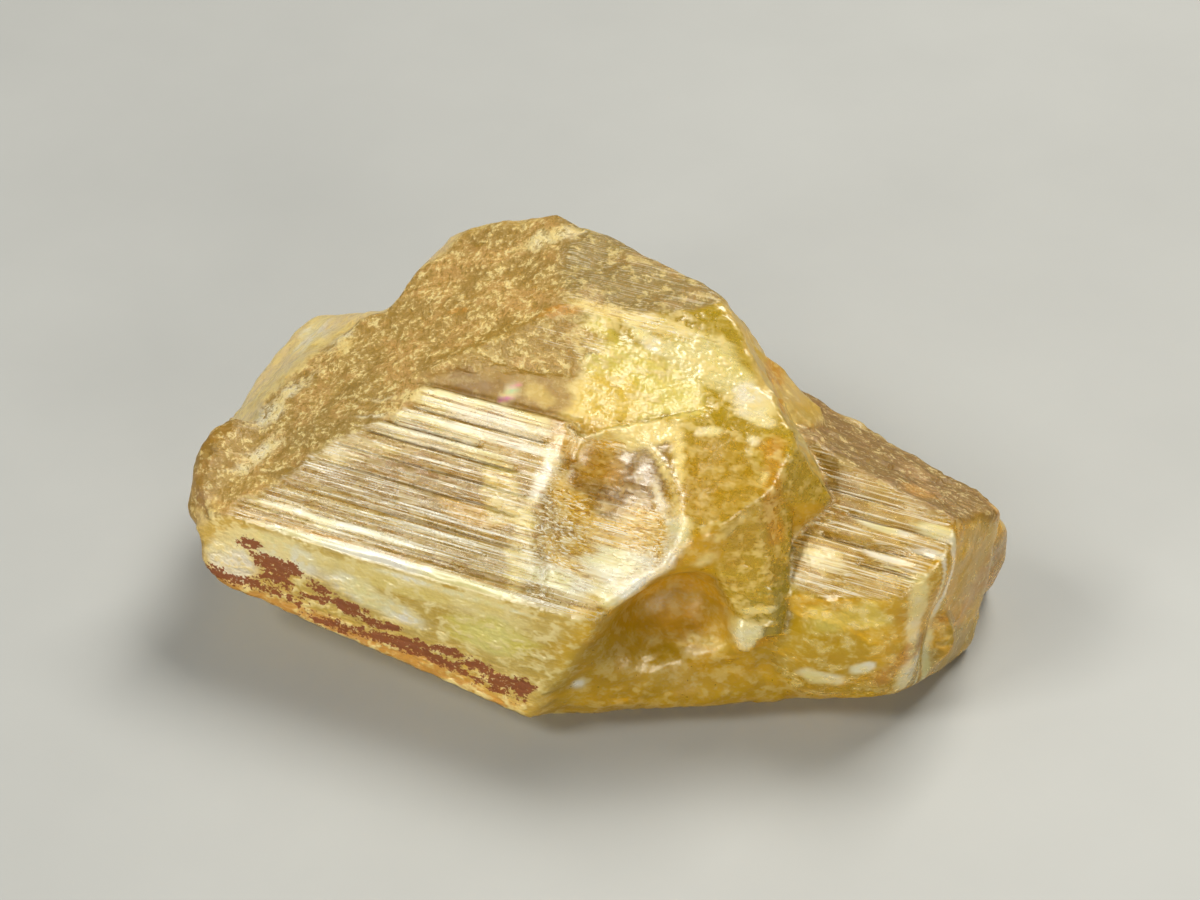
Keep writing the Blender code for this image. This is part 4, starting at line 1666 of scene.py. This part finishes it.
@dataclass(frozen=True)
class StoneFinish:
    """Golden, translucent stone with silky lines, a grainy coat, veils of breaks and rust.

    Attributes:
        refraction: How strongly it bends light.
        clearness: Share of the light that passes the surface and isn't scattered by it.
        depth_colour: Colour that light takes on inside.
        depth_density: How fast it does, per metre.
        warmth: What the colour is multiplied by in its warmer blots.
        uneven_gloss: How much the roughness changes from break to break.
        rust_dull: How much roughness rust adds.
        relief: Noise, mark and height in millimetres of each fine relief.
    """

    refraction: float = 1.62
    clearness: float = 0.6
    depth_colour: Colour = (0.98, 0.88, 0.24)
    depth_density: float = 100.0
    warmth: Colour = (0.93, 0.88, 0.46)
    uneven_gloss: float = 0.24
    rust_dull: float = 0.4
    relief: tuple[tuple[str, str, float], ...] = (
        ("thread", "lines", 0.045),
        ("fleck", "grain", 0.09),
        ("crackle", "broken", 0.08),
    )

    def material(self) -> bpy.types.Material:
        """Makes the material.

        Returns:
            The material, which reads the skin's attributes.
        """
        made = bpy.data.materials.new("golden richterite")
        made.use_nodes = True
        nodes = Nodes(made.node_tree)
        shader = made.node_tree.nodes["Principled BSDF"]
        output = made.node_tree.nodes["Material Output"]
        feeds = self._feeds(nodes)

        tone = nodes.add("ShaderNodeAttribute", attribute_name="tone").outputs["Color"]
        warmer = nodes.mix(1.0, tone, self.warmth, "MULTIPLY")
        colour = nodes.mix(nodes.ramp(feeds["broad"], 0.35, 0.7), tone, warmer)
        for layer in LAYERS:
            band = nodes.ramp(feeds[layer.noise], layer.start, layer.whole)
            cover = nodes.math("MULTIPLY", band, feeds[layer.mark])
            colour = nodes.mix(nodes.math("MULTIPLY", cover, layer.strength), colour, layer.paint)
        nodes.link(colour, shader.inputs["Base Color"])

        gloss = nodes.math("MULTIPLY", feeds["crackle"], self.uneven_gloss)
        roughness = nodes.math("ADD", feeds["dull"], gloss)
        roughness = nodes.math("SUBTRACT", roughness, self.uneven_gloss / 2)
        rust_dull = nodes.math("MULTIPLY", cover, self.rust_dull)
        roughness = nodes.math("ADD", roughness, rust_dull)
        nodes.link(roughness, shader.inputs["Roughness"])
        nodes.link(self._bump(nodes, feeds), shader.inputs["Normal"])

        shader.inputs["IOR"].default_value = self.refraction
        shader.inputs["Transmission Weight"].default_value = self.clearness
        shader.inputs["Metallic"].default_value = 0.0
        depth = nodes.add("ShaderNodeVolumeAbsorption")
        depth.inputs["Color"].default_value = (*self.depth_colour, 1.0)
        depth.inputs["Density"].default_value = self.depth_density
        nodes.link(depth.outputs["Volume"], output.inputs["Volume"])
        return made

    @staticmethod
    def _feeds(nodes: Nodes) -> dict[str, bpy.types.NodeSocket]:
        """Adds the noises, the skin's attributes and what is mixed from them, all by name.

        Args:
            nodes: The material's nodes.

        Returns:
            The sockets. Broad is large blots, thread is silk along X, fleck is grit, crackle is
            breaks, crumbs is where grit is pale and broken is where breaks stand out.
        """
        names = ("dull", "lines", "grain", "veil", "iron")
        feeds = {
            name: nodes.add("ShaderNodeAttribute", attribute_name=name).outputs["Fac"]
            for name in names
        }
        broad = nodes.noise((1.9, 1.2, 1.2))
        fleck = nodes.noise((0.22, 0.18, 0.18), rough=0.85, shift=9.0)
        crackle = nodes.noise((0.50, 0.34, 0.34), rough=0.75, shift=21.0)
        coat = nodes.math("ADD", nodes.math("MULTIPLY", feeds["grain"], 0.8), 0.2)
        return {
            **feeds,
            "broad": broad,
            "thread": nodes.noise((5.5, 0.05, 0.05), rough=0.7),
            "fleck": fleck,
            "crackle": crackle,
            "crumbs": nodes.math("MULTIPLY", nodes.ramp(crackle, 0.42, 0.56), coat),
            "breaks": nodes.math("ADD", feeds["veil"], 0.1),
            "broken": nodes.math("ADD", feeds["veil"], feeds["grain"]),
            "cluster": nodes.math("ADD", crackle, nodes.math("MULTIPLY", broad, 0.35)),
            "dusty": nodes.math("ADD", nodes.math("MULTIPLY", fleck, 2.4), feeds["iron"]),
            "iron_here": nodes.ramp(feeds["iron"], 0.05, 0.3),
        }

    def _bump(
        self, nodes: Nodes, feeds: dict[str, bpy.types.NodeSocket]
    ) -> bpy.types.NodeSocket:
        """Adds the fine relief.

        Args:
            nodes: The material's nodes.
            feeds: The noises and marks by name.

        Returns:
            The bent normal.
        """
        total: Feed = 0.0
        for noise, mark, height in self.relief:
            marked = nodes.math("MULTIPLY", feeds[noise], feeds[mark])
            total = nodes.math("ADD", total, nodes.math("MULTIPLY", marked, height))
        bump = nodes.add("ShaderNodeBump")
        bump.inputs["Distance"].default_value = MM
        nodes.link(total, bump.inputs["Height"])
        return bump.outputs["Normal"]


@dataclass(frozen=True)
class FloorFinish:
    """Plain pale floor with a faint unevenness.

    Attributes:
        colour: Its colour.
        darker: Its colour in the darker blots.
        dull: Roughness.
    """

    colour: Colour = seen_as(146, 148, 151)
    darker: Colour = seen_as(138, 140, 143)
    dull: float = 0.6

    def material(self) -> bpy.types.Material:
        """Makes the floor's material."""
        made = bpy.data.materials.new("pale floor")
        made.use_nodes = True
        nodes = Nodes(made.node_tree)
        shader = made.node_tree.nodes["Principled BSDF"]
        blots = nodes.noise((9.0, 9.0, 9.0), detail=4.0)
        nodes.link(nodes.mix(blots, self.colour, self.darker), shader.inputs["Base Color"])
        shader.inputs["Roughness"].default_value = self.dull
        return made


@dataclass(frozen=True)
class Lamp:
    """A soft square light.

    Attributes:
        name: What it is for.
        azimuth: Direction that it stands in, 0 being the near side and 90 the +X side.
        elevation: Angle above the floor.
        far: Distance from the stone.
        side: Length of its sides.
        watts: Its power.
        colour: Its colour.
    """

    name: str
    azimuth: float
    elevation: float
    far: float
    side: float
    watts: float
    colour: Colour


LAMPS = (
    Lamp("behind", 158, 58, 260, 130, 0.85, (1.0, 0.96, 0.84)),
    Lamp("in_front", -38, 48, 280, 80, 0.46, (1.0, 0.97, 0.86)),
    Lamp("low_front", -24, 13, 280, 60, 0.38, (1.0, 0.97, 0.86)),
    Lamp("right_front", 48, 16, 280, 120, 0.42, (1.0, 0.96, 0.84)),
)


@dataclass(frozen=True)
class Studio:
    """Floor, lights and camera.

    Attributes:
        azimuth: Camera's direction, 0 being straight on to the near side.
        elevation: Its angle above the floor.
        field_of_view: Its level angle of view.
        target: Point that it looks at.
        far: Its distance from that point.
        sky: Brightness of the even light from all round.
        sky_colour: Its colour.
        floor_side: Length of the floor's sides.
    """

    azimuth: float = 23.0
    elevation: float = 40.0
    field_of_view: float = 26.0
    target: Place = (0.0, 0.0, 5.0)
    far: float = 83.84
    sky: float = 0.14
    sky_colour: Colour = (1.0, 0.97, 0.86)
    floor_side: float = 1200.0

    def build(self) -> bpy.types.Object:
        """Makes the floor, the lights, the even light and the camera, and sets the contrast.

        Returns:
            The floor.
        """
        self._camera()
        for lamp in LAMPS:
            self._lamp(lamp)
        world = bpy.data.worlds.new("studio")
        world.use_nodes = True
        light = world.node_tree.nodes["Background"]
        light.inputs["Color"].default_value = (*self.sky_colour, 1.0)
        light.inputs["Strength"].default_value = self.sky
        bpy.context.scene.world = world
        bpy.context.scene.view_settings.view_transform = "Standard"
        bpy.context.scene.view_settings.look = "Medium High Contrast"
        return self._floor()

    @staticmethod
    def _towards(azimuth: float, elevation: float) -> Vector:
        """Unit vector from the stone towards a direction round it."""
        turn, rise = math.radians(azimuth), math.radians(elevation)
        level = math.cos(rise)
        return Vector((math.sin(turn) * level, -math.cos(turn) * level, math.sin(rise)))

    def _place(self, made: bpy.types.Object, azimuth: float, elevation: float, far: float) -> None:
        """Puts a camera or light round the target, looking at it."""
        back = self._towards(azimuth, elevation)
        made.location = (Vector(self.target) + back * far) * MM
        made.rotation_euler = back.to_track_quat("Z", "Y").to_euler()

    def _camera(self) -> None:
        """Makes the camera and gives it to the scene."""
        lens = bpy.data.cameras.new("camera")
        lens.sensor_fit = "HORIZONTAL"
        lens.angle = math.radians(self.field_of_view)
        lens.clip_start = 0.001
        lens.clip_end = 10.0
        made = add_object("camera", lens)
        self._place(made, self.azimuth, self.elevation, self.far)
        bpy.context.scene.camera = made

    def _lamp(self, lamp: Lamp) -> None:
        """Makes one light."""
        light = bpy.data.lights.new(lamp.name, "AREA")
        light.shape = "SQUARE"
        light.size = lamp.side * MM
        light.energy = lamp.watts
        light.color = lamp.colour
        self._place(add_object(lamp.name, light), lamp.azimuth, lamp.elevation, lamp.far)

    def _floor(self) -> bpy.types.Object:
        """Makes the floor as a grid of points z = 0 over even steps of X and Y."""
        steps = np.linspace(-0.5, 0.5, 5) * self.floor_side * MM
        x, y = np.meshgrid(steps, steps)
        points = np.stack([x, y, np.zeros_like(x)], axis=-1).reshape(-1, 3)
        number = np.arange(points.shape[0]).reshape(x.shape)
        near, after = number[:-1, :-1], number[:-1, 1:]
        quads = np.stack([near, after, number[1:, 1:], number[1:, :-1]], axis=-1).reshape(-1, 4)
        mesh = bpy.data.meshes.new("floor")
        mesh.from_pydata(points.tolist(), [], quads.tolist())
        mesh.materials.append(FloorFinish().material())
        return add_object("floor", mesh)


def main() -> None:
    """Builds the skin, the floor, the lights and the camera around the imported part."""
    logging.basicConfig(level=logging.INFO, format="%(message)s")
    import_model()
    low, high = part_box(NODE)

    skin = StoneSkin().build(low, high)
    skin.data.materials.append(StoneFinish().material())
    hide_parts(NODE)
    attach(skin, BODY)
    log.info("skin: %d faces", len(skin.data.polygons))

    floor = Studio().build()
    log.info("floor, lights and camera placed")


if __name__ == "__main__":
    main()
